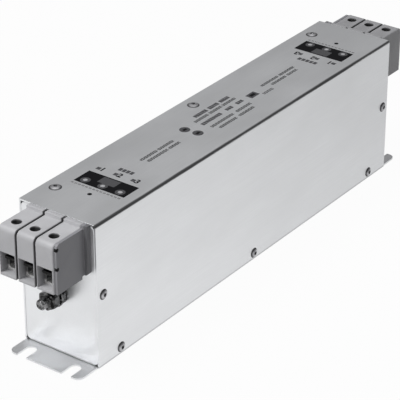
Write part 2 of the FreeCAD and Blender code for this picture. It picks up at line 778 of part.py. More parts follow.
def make_clamp_screw(label, across, wall, turned):
    """Slotted clamp screw that bears on the contact bar."""
    body = start_body(label)
    head_top = pole_top - screw_sink
    head_bottom = head_top - screw_head_tall
    profile = new_sketch(body, label + "_profile", "XZ")
    add_outline(profile, [
        (0, bar_top),
        (screw_shank / 2, bar_top),
        (screw_shank / 2, head_bottom),
        (screw_head / 2, head_bottom),
        (screw_head / 2, head_top),
        (0, head_top),
    ])
    revolve(body, profile, "V_Axis")
    slot = new_sketch(body, label + "_slot", "XY", head_top)
    add_block(slot, -screw_slot / 2, screw_slot / 2, -screw_head, screw_head)
    pocket(body, slot, screw_slot_deep)
    away = -screw_place if turned else screw_place
    place(body, across, wall + away, 0, turned)
    return body


def make_contact_bar(label, across, wall, turned):
    """Flat copper bar from the clamp through the neck to its solder tag."""
    tip = neck_length + bar_tag
    back = wall - tip if turned else wall + bar_front
    front = wall - bar_front if turned else wall + tip
    bar = block(label, across - bar_width / 2, across + bar_width / 2,
                back, front, bar_bottom, bar_top)
    return keep(bar)


def make_terminal_rows():
    """Three terminals at each end, with their clamps, bars, screws and end plate."""
    for end, wall, turned in ends():
        screws = []
        for number, across in enumerate(pole_places()):
            name = f"{end}_terminal_{number + 1}"
            make_terminal(name, across, wall, turned)
            make_clamp(f"{end}_clamp_{number + 1}", across, wall, turned)
            make_contact_bar(f"{end}_contact_bar_{number + 1}", across, wall, turned)
            screws.append(make_clamp_screw(f"{end}_screw_{number + 1}", across, wall, turned))
        keep(group(end + "_clamp_screws", screws))
        make_end_plate(end, wall, turned)


def make_stud(end, wall, turned):
    """Earth stud with the head that is pressed in behind the wall."""
    body = start_body(end + "_earth_stud")
    profile = new_sketch(body, end + "_stud_profile", "XY")
    inside = sheet_thick + stud_flange_thick
    add_outline(profile, [
        (0, -stud_reach),
        (stud_diameter / 2 - stud_bevel, -stud_reach),
        (stud_diameter / 2, stud_bevel - stud_reach),
        (stud_diameter / 2, sheet_thick),
        (stud_flange / 2, sheet_thick),
        (stud_flange / 2, inside),
        (0, inside),
    ])
    revolve(body, profile, "V_Axis")
    place(body, 0, wall, stud_rise, turned)
    return keep(body)


def make_nut(label, wall, turned, start, tall):
    """Hexagon nut with bevelled corners, its inner face at the start distance."""
    body = start_body(label)
    hexagon = new_sketch(body, label + "_hexagon", "XZ", start)
    corner = nut_across / math.sqrt(3)
    points = [
        (corner * math.cos(math.radians(60 * n)), corner * math.sin(math.radians(60 * n)))
        for n in range(6)
    ]
    add_outline(hexagon, points)
    add_circle(hexagon, 0, 0, stud_diameter / 2)
    pad(body, hexagon, tall)
    bevel = new_sketch(body, label + "_bevel", "XY")
    outside = corner + nut_bevel
    for face, inward in ((start, 1), (start + tall, -1)):
        add_outline(bevel, [
            (nut_across / 2, -face),
            (outside, -face),
            (outside, -face - (outside - nut_across / 2) * (0.5 * inward)),
        ])
    groove(body, bevel, "V_Axis")
    place(body, 0, wall, stud_rise, turned)
    return body


def make_washer(label, wall, turned, start, thick, outer):
    """Plain ring on the stud, its inner face at the start distance."""
    body = start_body(label)
    ring = new_sketch(body, label + "_ring", "XZ", start)
    add_circle(ring, 0, 0, outer / 2)
    add_circle(ring, 0, 0, stud_bore)
    pad(body, ring, thick)
    place(body, 0, wall, stud_rise, turned)
    return body


def make_toothed_washer(label, wall, turned, start):
    """Lock washer with teeth round its outside."""
    body = make_washer(label, wall, turned, start, toothed_thick, toothed_outer)
    gap = new_sketch(body, label + "_gap", "XZ", start)
    outer = toothed_outer / 2
    add_block(gap, -tooth_gap / 2, tooth_gap / 2, outer - tooth_depth, outer + tooth_depth)
    cut = pocket(body, gap, toothed_thick, backwards=True)
    repeat_round(body, cut, gap, tooth_count)
    return body


def make_studs():
    """Earth stud, two toothed washers, a plain washer and two nuts at each end."""
    for end, wall, turned in ends():
        make_stud(end, wall, turned)
        first_nut = toothed_thick
        washer = first_nut + thin_nut_tall
        second_tooth = washer + washer_thick
        last_nut = second_tooth + toothed_thick
        washers = [
            make_toothed_washer(end + "_inner_teeth", wall, turned, as_size(0)),
            make_toothed_washer(end + "_outer_teeth", wall, turned, second_tooth),
        ]
        keep(group(end + "_toothed_washers", washers))
        keep(make_nut(end + "_fixing_nut", wall, turned, first_nut, thin_nut_tall))
        plain = make_washer(end + "_plain_washer", wall, turned, washer, washer_thick, washer_outer)
        keep(plain)
        keep(make_nut(end + "_earth_nut", wall, turned, last_nut, nut_tall))


def make_liner():
    """Insulating sheet on the base and up the left wall."""
    body = start_body("insulating_liner")
    section = new_sketch(body, "liner_section", "XZ")
    floor, outside = sheet_thick, -inner_side
    add_outline(section, [
        (outside, liner_height),
        (outside, floor, bend_radius),
        (liner_edge, floor),
        (liner_edge, floor + liner_thick),
        (outside + liner_thick, floor + liner_thick, bend_radius - liner_thick),
        (outside + liner_thick, liner_height),
    ])
    pad(body, section, liner_end * 2, both_ways=True)
    holes = new_sketch(body, "liner_post_holes", "XY", floor)
    for across, along in post_places():
        add_circle(holes, across, along, post_diameter / 2 + bore_clear)
    pocket(body, holes, liner_thick * 2, backwards=True)
    return keep(body)


def post_places():
    """Return where the board's posts stand."""
    rows = spread(post_rows, (board_end - post_inset) * 2)
    return [(across, along) for across in spread(2, (board_side - post_edge) * 2) for along in rows]


def make_board():
    """Circuit board and the posts that carry it."""
    keep(block("circuit_board", -board_side, board_side,
               -board_end, board_end, board_bottom, board_top))
    posts = [
        rod(f"board_post_{n + 1}", post_diameter / 2, board_rise, across, along, sheet_thick)
        for n, (across, along) in enumerate(post_places())
    ]
    keep(group("board_posts", posts))


def make_choke_core():
    """Ring core on edge, its axis across the case."""
    body = start_body("choke_core")
    section = new_sketch(body, "core_section", "XY")
    half = core_width / 2
    near, far = core_bore / 2, core_outer / 2
    add_outline(section, [
        (core_bevel - half, near),
        (half - core_bevel, near),
        (half, near + core_bevel),
        (half, far - core_bevel),
        (half - core_bevel, far),
        (core_bevel - half, far),
        (-half, far - core_bevel),
        (-half, near + core_bevel),
    ])
    revolve(body, section, "H_Axis")
    place(body, 0, 0, choke_rise)
    return keep(body)


def make_winding(number):
    """One phase winding: a sleeve round a third of the core, grooved between its turns."""
    label = f"choke_winding_{number + 1}"
    body = start_body(label)
    section = new_sketch(body, label + "_section", "XZ")
    half = core_width / 2
    near, far = core_bore / 2, core_outer / 2
    skin = winding_thick
    add_block(section, -half - skin, half + skin, near - skin, far + skin)
    gap = winding_clear
    add_block(section, -half - gap, half + gap, near - gap, far + gap)
    sleeve = revolve(body, section, "H_Axis", winding_span)
    sleeve.Midplane = True

    groove_ring = new_sketch(body, label + "_turn_gap", "XZ")
    past = skin + turn_depth
    deep = skin - turn_depth
    add_block(groove_ring, -half - past, half + past, near - past, far + past)
    add_block(groove_ring, -half - deep, half + deep, near - deep, far + deep)
    first = pocket(body, groove_ring, turn_gap, both_ways=True)
    around = new_sketch(body, label + "_turn_axis", "YZ")
    add_circle(around, 0, 0, near)
    step = winding_span / turn_count
    for name, backwards in (("ahead", False), ("behind", True)):
        turns = body.newObject("PartDesign::PolarPattern", f"{label}_turns_{name}")
        turns.Originals = [first]
        turns.Axis = (around, ["N_Axis"])
        turns.Reversed = backwards
        bind(turns, "Angle", step * (turn_count // 2 - 1))
        turns.Occurrences = turn_count // 2
        body.Tip = turns
        document.recompute()
    third = 360 / pole_count
    place(body, 0, 0, choke_rise, axis=(1, 0, 0), degrees=third * (number + 0.5))
    return keep(body)


def make_separator():
    """Three-armed spacer between the windings in the core's bore."""
    body = start_body("phase_separator")
    arm = new_sketch(body, "separator_arm", "YZ")
    reach = core_bore / 2 - arm_clear
    add_block(arm, -arm_thick / 2, arm_thick / 2, as_size(0), reach)
    first = pad(body, arm, core_width + winding_thick * 2, both_ways=True)
    repeat_round(body, first, arm, pole_count)
    place(body, 0, 0, choke_rise)
    return keep(body)


def make_cradle():
    """Moulded saddle that holds the choke on the board."""
    body = start_body("choke_cradle")
    plan = new_sketch(body, "cradle_plan", "YZ")
    half = cradle_length / 2
    add_block(plan, -half, half, board_top, board_top + cradle_cheek)
    pad(body, plan, cradle_width, both_ways=True)
    seat = new_sketch(body, "cradle_seat", "YZ")
    add_circle(seat, 0, choke_rise, core_outer / 2 + winding_thick)
    pocket(body, seat, cradle_width * 2, both_ways=True)
    return keep(body)


def make_capacitor(label, across, along, width, length, height):
    """Boxed film capacitor with rounded upright edges, standing on the board."""
    body = start_body(label)
    plan = new_sketch(body, label + "_plan", "XY", board_top)
    right, back = width / 2, length / 2
    add_outline(plan, [
        (-right, -back, capacitor_round),
        (right, -back, capacitor_round),
        (right, back, capacitor_round),
        (-right, back, capacitor_round),
    ])
    pad(body, plan, height)
    place(body, across, along, 0)
    return keep(body)


def make_small_parts():
    """Capacitors and bleed resistors on the board."""
    for end, side in (("front", -1), ("rear", 1)):
        for number in range(pole_count):
            across = capacitor_pitch * (number - (pole_count - 1) / 2)
            along = (board_end - capacitor_inset) * side
            make_capacitor(f"{end}_capacitor_{number + 1}", across, along,
                           capacitor_width, capacitor_length, capacitor_height)
    make_capacitor("earth_capacitor", 0, earth_cap_inset - board_end,
                   earth_cap_width, earth_cap_length, earth_cap_height)
    resistors = [
        rod(f"bleed_resistor_{n + 1}", resistor_diameter / 2, resistor_length,
            across, board_end - resistor_inset - resistor_length, board_top + resistor_diameter / 2,
            axis=(1, 0, 0), degrees=-90)
        for n, across in enumerate(pole_places())
    ]
    keep(group("bleed_resistors", resistors))


def make_link(label, across, start, foot, under, turned):
    """Flat copper link: level from its start, bent once, then down to the board."""
    body = start_body(label)
    side = new_sketch(body, label + "_side", "YZ")
    top = under + link_thick
    add_outline(side, [
        (start, under),
        (start, top),
        (foot + link_thick, top, link_bend + link_thick),
        (foot + link_thick, board_top),
        (foot, board_top),
        (foot, under, link_bend),
    ])
    pad(body, side, link_width, both_ways=True)
    place(body, across, 0, 0, turned)
    return body


def make_links():
    """Copper links down to the board from the solder tags and from the front stud's head."""
    tag = neck_length + bar_tag - half_length
    foot = link_inset - board_end
    for end, wall, turned in ends():
        links = [
            make_link(f"{end}_link_{n + 1}", across, tag, foot, bar_bottom, turned)
            for n, across in enumerate(pole_places())
        ]
        keep(group(end + "_links", links))
    head = sheet_thick + stud_flange_thick - half_length
    level = stud_rise - link_thick / 2
    keep(make_link("earth_strap", 0, head, strap_inset - board_end, level, False))


def check_model():
    """Stop with the name of any object that failed or any sub-part that is not sound."""
    for thing in document.Objects:
        if "Invalid" in thing.State or "Error" in thing.State:
            raise RuntimeError(f"{thing.Name} failed: {thing.State}")
    for thing in sub_parts:
        if thing.Shape.isNull() or not thing.Shape.isValid() or not thing.Shape.Solids:
            raise RuntimeError(f"{thing.Label} has no sound solid")


def write_parts():
    """Write each sub-part under its own label."""
    os.makedirs("parts", exist_ok=True)
    for thing in sub_parts:
        thing.Shape.exportStep(f"parts/{thing.Label}.step")
        print(f"{thing.Label}: {len(thing.Shape.Solids)} solid, {thing.Shape.Volume:.1f} mm3")


make_base_tray()
make_cover()
for end_name, wall_place, faces_rear in ends():
    make_end_wall(end_name, wall_place, faces_rear)
make_rivets()
make_terminal_rows()
make_studs()
make_liner()
make_board()
make_choke_core()
for winding_number in range(pole_count):
    make_winding(winding_number)
make_separator()
make_cradle()
make_small_parts()
make_links()
document.recompute()
check_model()
write_parts()
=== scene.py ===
import logging
import math
from dataclasses import dataclass, field
from enum import Enum

import bmesh
import bpy
import numpy as np
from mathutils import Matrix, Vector


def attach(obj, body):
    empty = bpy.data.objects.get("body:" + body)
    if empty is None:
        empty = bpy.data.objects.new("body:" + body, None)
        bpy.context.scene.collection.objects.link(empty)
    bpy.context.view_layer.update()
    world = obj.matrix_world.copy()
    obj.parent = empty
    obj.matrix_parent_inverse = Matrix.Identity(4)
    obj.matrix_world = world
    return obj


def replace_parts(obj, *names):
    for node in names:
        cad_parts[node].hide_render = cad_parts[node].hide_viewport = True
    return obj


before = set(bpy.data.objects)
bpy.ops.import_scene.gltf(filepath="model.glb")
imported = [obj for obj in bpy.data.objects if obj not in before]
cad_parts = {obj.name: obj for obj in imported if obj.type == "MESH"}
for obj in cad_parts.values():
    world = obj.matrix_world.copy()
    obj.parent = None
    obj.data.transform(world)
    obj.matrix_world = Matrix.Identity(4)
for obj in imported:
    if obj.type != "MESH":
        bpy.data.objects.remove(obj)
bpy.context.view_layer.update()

log = logging.getLogger("line_filter")
MM = 0.001
BODY = "root"

Socket = bpy.types.NodeSocket
Material = bpy.types.Material
Piece = bpy.types.Object
Pair = tuple[float, float]
Triple = tuple[float, float, float]


class Axis(Enum):
    """Which way a turned piece's axis points, outwards from the case."""

    FRONT = (0.0, -1.0, 0.0)
    REAR = (0.0, 1.0, 0.0)
    RIGHT = (1.0, 0.0, 0.0)
    UP = (0.0, 0.0, 1.0)

    def basis(self) -> np.ndarray:
        """Return the rotation whose third column is the axis."""
        quaternion = Vector(Axis.UP.value).rotation_difference(Vector(self.value))
        return np.array(quaternion.to_matrix())


class End(Enum):
    """The two ends of the case."""

    FRONT = "front"
    REAR = "rear"

    @property
    def sign(self) -> int:
        """Return -1 at the front and 1 at the rear."""
        return -1 if self is End.FRONT else 1

    @property
    def outward(self) -> Axis:
        """Return the axis that points out of this end."""
        return Axis.FRONT if self is End.FRONT else Axis.REAR


class Ink(Enum):
    """The inks of the lid's print."""

    BLACK = "black"
    GREY = "grey"
    FAINT = "faint"
    PALE = "pale"


class Lettering(Enum):
    """The word-like marks: their pitch, half height, its swing and pace, and the filled part."""

    LIGHT = (0.95, 0.42, 0.08, 2.3, 0.9)
    BOLD = (1.9, 0.47, 0.03, 1.7, 0.86)


@dataclass(frozen=True)
class Pattern:
    """A noise: patch size in millimetres, stretch along each axis, octaves and their weight."""

    size: float
    stretch: Triple = (1, 1, 1)
    detail: float = 3.0
    roughness: float = 0.5


# Node work


class Bench:
    """Adds and joins the shader nodes of one material.

    Lengths in patterns are millimetres of the object's own coordinates.
    """

    noise_range: Pair = (0.3, 0.7)

    def __init__(self, name: str) -> None:
        """Start a material with a Principled shader.

        Args:
            name: Name of the material.
        """
        self.material = bpy.data.materials.new(name)
        self.material.use_nodes = True
        self.tree = self.material.node_tree
        self.shader = self.tree.nodes["Principled BSDF"]
        self.coordinates = self.tree.nodes.new("ShaderNodeTexCoord")

    def node(self, kind: str, inputs: dict | None = None, **settings: object) -> bpy.types.Node:
        """Add a node and fill its inputs.

        Args:
            kind: Node type.
            inputs: Input name or number to a value or an output socket.
            **settings: Properties of the node itself.

        Returns:
            The new node.
        """
        made = self.tree.nodes.new(kind)
        for key, value in settings.items():
            setattr(made, key, value)
        for key, value in (inputs or {}).items():
            if isinstance(value, Socket):
                self.tree.links.new(value, made.inputs[key])
            else:
                made.inputs[key].default_value = value
        return made

    def place(self, stretch: Triple = (1, 1, 1)) -> Socket:
        """Return object coordinates in millimetres, squeezed by the stretch of each axis."""
        inputs = {"Vector": self.coordinates.outputs["Object"],
                  "Scale": tuple(1.0 / MM / part for part in stretch)}
        return self.node("ShaderNodeMapping", inputs).outputs["Vector"]

    def noise(self, pattern: Pattern) -> Socket:
        """Return a noise from 0 to 1 with the pattern's patches."""
        inputs = {"Vector": self.place(pattern.stretch), "Scale": 1.0 / pattern.size,
                  "Detail": pattern.detail, "Roughness": pattern.roughness}
        return self.node("ShaderNodeTexNoise", inputs).outputs["Fac"]

    def spread(self, value: Socket, low: float, high: float, to_low: float, to_high: float) -> Socket:
        """Map a value from one range to another, held at the ends."""
        ranges = {"From Min": low, "From Max": high, "To Min": to_low, "To Max": to_high}
        return self.node("ShaderNodeMapRange", {"Value": value, **ranges}).outputs["Result"]

    def even(self, noise: Socket, to_low: float, to_high: float) -> Socket:
        """Map the range that holds most of a noise to another range."""
        return self.spread(noise, *self.noise_range, to_low, to_high)

    def mix(self, factor: Socket | float, first: tuple | Socket, second: tuple | Socket) -> Socket:
        """Mix two colours.

        Args:
            factor: Share of the second colour.
            first: Socket, or plain red, green and blue.
            second: The same.

        Returns:
            The mixed colour's socket.
        """
        made = self.node("ShaderNodeMix", data_type="RGBA")
        for index, value in ((0, factor), (6, first), (7, second)):
            if isinstance(value, Socket):
                self.tree.links.new(value, made.inputs[index])
            elif index == 0:
                made.inputs[index].default_value = value
            else:
                made.inputs[index].default_value = (*value[:3], 1.0)
        return made.outputs[2]

    def maths(self, operation: str, first: Socket | float, second: Socket | float = 0.0) -> Socket:
        """Return a sum, difference or other plain calculation of two values."""
        return self.node("ShaderNodeMath", {0: first, 1: second}, operation=operation).outputs["Value"]

    def times(self, first: Socket, second: Socket | float) -> Socket:
        """Return the product of two values."""
        return self.maths("MULTIPLY", first, second)

    def larger(self, first: Socket, second: Socket) -> Socket:
        """Return the larger of two values."""
        return self.maths("MAXIMUM", first, second)

    def below(self, value: Socket, limit: float) -> Socket:
        """Return 1 where a value is below a limit and 0 elsewhere."""
        return self.maths("LESS_THAN", value, limit)

    def axis(self, letter: str) -> Socket:
        """Return one object coordinate in millimetres."""
        return self.node("ShaderNodeSeparateXYZ", {"Vector": self.place()}).outputs[letter]

    def off_middle(self, letter: str) -> Socket:
        """Return the distance along one axis from the object's middle, in millimetres."""
        return self.maths("ABSOLUTE", self.axis(letter))

    def in_circle(self, first: Socket, second: Socket, radius: float) -> Socket:
        """Return 1 where two distances from a centre lie in a circle and 0 elsewhere."""
        square = self.maths("ADD", self.times(first, first), self.times(second, second))
        return self.below(square, radius**2)

    def bump(self, height: Socket, depth: float, strength: float) -> None:
        """Raise the surface by a height from 0 to 1.

        Args:
            height: Socket of the height.
            depth: Millimetres between 0 and 1.
            strength: Weight of the bump.
        """
        inputs = {"Height": height, "Distance": depth * MM, "Strength": strength}
        self.feed("Normal", self.node("ShaderNodeBump", inputs).outputs["Normal"])

    def feed(self, name: str, value: Socket) -> None:
        """Join a socket to an input of the Principled shader."""
        self.tree.links.new(value, self.shader.inputs[name])

    def hold(self, **values: float) -> None:
        """Set plain values on the shader; an underscore stands for a space in a name."""
        for name, value in values.items():
            self.shader.inputs[name.replace("_", " ")].default_value = value


# Finishes


@dataclass(frozen=True)
class Finish:
    """A finish with a name and a base colour; each kind dresses its own nodes."""

    name: str
    colour: Triple

    def shade(self, factor: float) -> Triple:
        """Return the colour made lighter or darker."""
        return tuple(min(part * factor, 1.0) for part in self.colour)

    def cloudy(self, bench: Bench, clouds: Socket, low: float, high: float) -> Socket:
        """Return a tone that drifts with the clouds from one shade of the colour to another."""
        return bench.mix(bench.even(clouds, 0, 1), self.shade(low), self.shade(high))

    def material(self) -> Material:
        """Return the finished material."""
        bench = Bench(self.name)
        self.dress(bench)
        return bench.material

    def dress(self, bench: Bench) -> None:
        """Add this finish's nodes to the bench."""
        raise NotImplementedError

    def stained(self, bench: Bench, tone: Socket) -> Socket:
        """Return the tone as it is; a kind that paints shade on some places darkens it there."""
        return tone


@dataclass(frozen=True)
class ZincSheet(Finish):
    """Rolled zinc-coated sheet: soft cloudy tone, fine rolling lines and a painted dark reflection along
    the top fold.

    Places are millimetres.
    """

    fold_x: float = 25.0
    fold_z: float = 85.0
    fold_band: Pair = (0.9, 1.6)
    hem_z: float = 1.2
    hem_weight: float = 0.34
    worn: float = 0.15
    metal: float = 0.86
    rough: Pair = (0.30, 0.37)
    clouds: Pattern = Pattern(26.0, (1, 2.2, 1), detail=4.0)
    lines: Pattern = Pattern(1.0, (0.22, 40.0, 0.22), detail=2.0, roughness=0.6)
    specks: Pattern = Pattern(0.7, detail=2.0)
    waver: Pattern = Pattern(9.0, (1, 6, 1))

    def dress(self, bench: Bench) -> None:
        """Add cloudy tone, rolling lines, handling marks and the fold's painted dark reflection.

        Args:
            bench: The material's bench.
        """
        clouds, lines, specks = (bench.noise(kind) for kind in (self.clouds, self.lines, self.specks))
        tone = self.cloudy(bench, clouds, 0.95, 1.05)
        tone = bench.mix(bench.spread(lines, 0.35, 0.65, 0, 0.4), tone, self.shade(0.92))
        # Painted shade: the mask darkens the cover's top fold as a dark reflection and its hem, and on
        # the plain sheet the flanges, their outer edges and the walls' feet.
        bench.feed("Base Color", bench.mix(self.worn_mask(bench), tone, self.shade(self.worn)))
        rough = bench.even(clouds, *self.rough)
        bench.feed("Roughness", bench.maths("ADD", rough, bench.spread(specks, 0.4, 0.7, 0.0, 0.05)))
        bench.bump(bench.maths("ADD", bench.times(lines, 0.6), specks), 0.006, 0.24)
        bench.hold(Metallic=self.metal)

    def worn_mask(self, bench: Bench) -> Socket:
        """Return how much is painted darker: 1 on the long top fold, a third on the lower hem and 0
        elsewhere.

        The fold's part is the larger distance of a point from the side plane and from the
        lid plane, so it is darkest where the metal turns between them, a painted dark reflection.

        Args:
            bench: The material's bench.

        Returns:
            The mask's socket.
        """
        waver = bench.even(bench.noise(self.waver), -0.25, 0.25)
        side = bench.maths("SUBTRACT", self.fold_x, bench.axis("X"))
        lid = bench.maths("SUBTRACT", self.fold_z, bench.axis("Z"))
        reach = bench.maths("ADD", bench.larger(side, lid), waver)
        fold = bench.spread(reach, *self.fold_band, 1.0, 0.0)
        hem = bench.spread(bench.axis("Z"), self.hem_z, self.hem_z + 0.5, self.hem_weight, 0.0)
        return bench.larger(fold, hem)


@dataclass(frozen=True)
class PlainSheet(ZincSheet):
    """The same sheet on the tray and the end walls, with painted shade on the flanges and at the walls'
    feet.
    """

    wall_y: float = 140.0
    tip_y: float = 155.0
    foot_z: Pair = (1.5, 2.4)
    flange_weight: float = 0.03
    tip_weight: float = 0.1
    foot_weight: float = 0.5

    def worn_mask(self, bench: Bench) -> Socket:
        """Return the painted shade on the flanges, their outer edges and where a wall stands on the
        base.

        Args:
            bench: The material's bench.

        Returns:
            The mask's socket.
        """
        reach = bench.off_middle("Y")
        # Painted shade: the flanges, their outer edges and the foot of each wall where it meets the
        # base.
        flange = bench.spread(reach, self.wall_y + 0.2, self.wall_y + 0.8, 0.0, self.flange_weight)
        tip = bench.spread(reach, self.tip_y - 1.4, self.tip_y + 0.2, 0.0, self.tip_weight)
        foot = bench.times(bench.spread(bench.axis("Z"), *self.foot_z, self.foot_weight, 0.0),
                           bench.spread(reach, self.wall_y - 1.2, self.wall_y - 1.0, 0.0, 1.0))
        foot = bench.times(foot, bench.below(reach, self.wall_y + 0.3))
        return bench.larger(bench.maths("ADD", flange, tip), foot)


@dataclass(frozen=True)
class MouldedPlastic(Finish):
    """Glass-filled moulding with a fine spark-eroded grain and slight flow clouds."""

    grain: float = 0.32
    rough: Pair = (0.43, 0.55)
    clouds: Pattern = Pattern(11.0)

    def dress(self, bench: Bench) -> None:
        """Add flow clouds, grain bump and a little polish where the mould was smooth.

        Args:
            bench: The material's bench.
        """
        clouds = bench.noise(self.clouds)
        grain = bench.noise(Pattern(self.grain, detail=2.0, roughness=0.6))
        tone = self.cloudy(bench, clouds, 0.95, 1.05)
        tone = bench.mix(bench.spread(grain, 0.4, 0.75, 0, 0.3), tone, self.shade(0.84))
        bench.feed("Base Color", self.stained(bench, tone))
        bench.feed("Roughness", bench.even(clouds, *self.rough))
        bench.bump(grain, 0.02, 0.5)


@dataclass(frozen=True)
class HousingPlastic(MouldedPlastic):
    """The terminals' plastic, with painted shade down in the screwdriver holes and the wire entries and
    in the seams.

    Places are millimetres; both ends and all three terminals share the pattern.
    """

    pitch: float = 12.2
    hole_y: float = 156.75
    hole_radius: float = 2.95
    top_z: float = 83.0
    entry_half: float = 4.95
    entry_z: Pair = (56.1, 68.6)
    floor_rise: float = 2.5
    floor_weight: float = 0.25
    mouth_y: float = 164.6
    mouth_depth: float = 4.0
    entry_weight: float = 0.55
    seam: Pair = (5.2, 5.5)
    seam_weight: float = 0.85

    def stained(self, bench: Bench, tone: Socket) -> Socket:
        """Darken the walls of the holes and entries, more the deeper they lie, and the seams, as painted
        shade.

        X is wrapped to the distance from the nearest terminal's middle. A seam is where two
        housings face each other, so the row's outer faces stay clean.

        Args:
            bench: The material's bench.
            tone: The clean tone.

        Returns:
            The darkened tone's socket.
        """
        shifted = bench.maths("ADD", bench.axis("X"), self.pitch * 1.5)
        wrapped = bench.maths("MODULO", shifted, self.pitch)
        across = bench.maths("ABSOLUTE", bench.maths("SUBTRACT", wrapped, self.pitch / 2))
        reach, height = bench.off_middle("Y"), bench.axis("Z")
        along = bench.maths("SUBTRACT", reach, self.hole_y)
        hole = bench.times(bench.in_circle(across, along, self.hole_radius),
                           bench.spread(height, self.top_z - 1.0, self.top_z - 0.1, 1.0, 0.0))
        entry = bench.times(bench.below(across, self.entry_half), bench.spread(
            reach, self.mouth_y - self.mouth_depth, self.mouth_y, self.entry_weight, 0.0))
        low, high = self.entry_z
        inside = bench.times(bench.spread(height, low, low + self.floor_rise, self.floor_weight, 1.0),
                             bench.below(height, high))
        # Painted shade in the holes, the entries and the seams between housings.
        painted_shade_places = bench.larger(hole, bench.times(entry, inside))
        seam = bench.times(bench.below(bench.off_middle("X"), self.pitch),
                           bench.spread(across, *self.seam, 0.0, self.seam_weight))
        return bench.mix(bench.larger(painted_shade_places, seam), tone, self.shade(0.1))


@dataclass(frozen=True)
class PlatePlastic(MouldedPlastic):
    """The end plate's plastic, darker as painted shade, with painted shade in the snap notches and on
    the foot.

    Places are millimetres; both ends share the pattern.
    """

    notch_y: float = 163.3
    notch_z: Pair = (80.0, 69.0)
    notch_radius: float = 1.12
    face_x: float = 19.45
    foot_weight: float = 0.48

    def stained(self, bench: Bench, tone: Socket) -> Socket:
        """Darken the foot past the plate's face and the two notches sunk in it, as painted shade.

        Args:
            bench: The material's bench.
            tone: The clean tone.

        Returns:
            The darkened tone's socket.
        """
        across = bench.off_middle("X")
        painted_shade_places = bench.spread(across, self.face_x + 0.1, self.face_x + 0.5, 0.0, self.foot_weight)
        along = bench.maths("SUBTRACT", bench.off_middle("Y"), self.notch_y)
        for level in self.notch_z:
            up = bench.maths("SUBTRACT", bench.axis("Z"), level)
            painted_shade_places = bench.larger(painted_shade_places, bench.in_circle(up, along, self.notch_radius))
        # Painted shade on the foot and in the notches.
        return bench.mix(painted_shade_places, tone, self.shade(0.06))


@dataclass(frozen=True)
class PlatedSteel(Finish):
    """Bright zinc plating on small turned and pressed pieces.

    Stain is how bright the stains stay, and stain_size how wide they are.
    """

    rough: Pair = (0.3, 0.46)
    stain: float = 0.66
    stain_size: float = 2.6
    marks: Pattern = Pattern(0.16, (3, 1, 3), detail=2.0)

    def dress(self, bench: Bench) -> None:
        """Add tool marks, small stains and uneven gloss.

        Args:
            bench: The material's bench.
        """
        stains = bench.noise(Pattern(self.stain_size, detail=4.0, roughness=0.65))
        stained = bench.spread(stains, 0.42, 0.58, 0, 1)
        tone = bench.mix(stained, self.colour, self.shade(self.stain))
        bench.feed("Base Color", self.stained(bench, tone))
        bench.feed("Roughness", bench.even(stains, *self.rough))
        bench.bump(bench.noise(self.marks), 0.008, 0.45)
        bench.hold(Metallic=1.0)


@dataclass(frozen=True)
class ClampSteel(PlatedSteel):
    """The clamp cages' plating: bright on the lower jaw, with painted shade up in the housing."""

    jaw_z: float = 57.6
    jaw_fade: float = 1.2
    metal: float = 0.45

    def dress(self, bench: Bench) -> None:
        """Add the plating and let part of it scatter light as a matt one does."""
        super().dress(bench)
        bench.hold(Metallic=self.metal)

    def stained(self, bench: Bench, tone: Socket) -> Socket:
        """Paint shade on the cage above its lower jaw."""
        # Painted shade: the cage is darker above its lower jaw, up inside the housing.
        tarnish_and_shade = bench.spread(bench.axis("Z"), self.jaw_z, self.jaw_z + self.jaw_fade, 0.0, 0.9)
        return bench.mix(tarnish_and_shade, tone, self.shade(0.08))


@dataclass(frozen=True)
class RivetMetal(PlatedSteel):
    """Rivet metal with a painted dark reflection in a ring near the rim and painted shade in the head's
    recess.

    The ring reads the piece's own attribute, the distance of a point from its rivet's axis.
    """

    attribute: str = "from_axis"
    rim: float = 3.0
    mouth: float = 1.1

    def stained(self, bench: Bench, tone: Socket) -> Socket:
        """Darken the outer third of the head, a painted dark reflection, and the recess, painted shade.

        Args:
            bench: The material's bench.
            tone: The clean tone.

        Returns:
            The darkened tone's socket.
        """
        away = bench.node("ShaderNodeAttribute", attribute_name=self.attribute).outputs["Fac"]
        outer = bench.spread(away, self.rim - 1.0, self.rim - 0.5, 0.0, 0.8)
        inner = bench.spread(away, self.mouth - 0.15, self.mouth + 0.05, 0.9, 0.0)
        # Painted dark reflection on the rim ring and painted shade in the recess.
        return bench.mix(bench.larger(outer, inner), tone, self.shade(0.06))


@dataclass(frozen=True)
class PrintedInk(Finish):
    """Screen-printed ink: even, with pinholes and a slightly ragged film."""

    rough: Pair = (0.5, 0.66)
    film: Pattern = Pattern(1.4, detail=4.0, roughness=0.7)
    screen: Pattern = Pattern(0.12, detail=1.0)

    def dress(self, bench: Bench) -> None:
        """Add the mesh of the screen and thin places in the film.

        Args:
            bench: The material's bench.
        """
        film = bench.noise(self.film)
        thin = bench.spread(film, 0.55, 0.8, 0, 0.35)
        bench.feed("Base Color", bench.mix(thin, self.colour, self.shade(2.2)))
        bench.feed("Roughness", bench.even(film, *self.rough))
        bench.bump(bench.noise(self.screen), 0.004, 0.3)
        bench.hold(Specular_IOR_Level=0.08)


@dataclass(frozen=True)
class DrawnCopper(Finish):
    """Bare or enamelled copper with drawing lines."""

    lacquer: float = 0.0
    rough: Pair = (0.32, 0.46)
    tarnish: Pattern = Pattern(3.0, detail=4.0, roughness=0.6)
    lines: Pattern = Pattern(0.12, (1, 12, 1), detail=2.0)

    def dress(self, bench: Bench) -> None:
        """Add tarnish, drawing lines and the enamel's coat.

        Args:
            bench: The material's bench.
        """
        tarnish = bench.noise(self.tarnish)
        tarnish_and_shade = bench.spread(tarnish, 0.35, 0.7, 0, 1)
        bench.feed("Base Color", bench.mix(tarnish_and_shade, self.colour, self.shade(0.6)))
        bench.feed("Roughness", bench.even(tarnish, *self.rough))
        bench.bump(bench.noise(self.lines), 0.006, 0.4)
        bench.hold(Metallic=1.0, Coat_Weight=self.lacquer, Coat_Roughness=0.12)


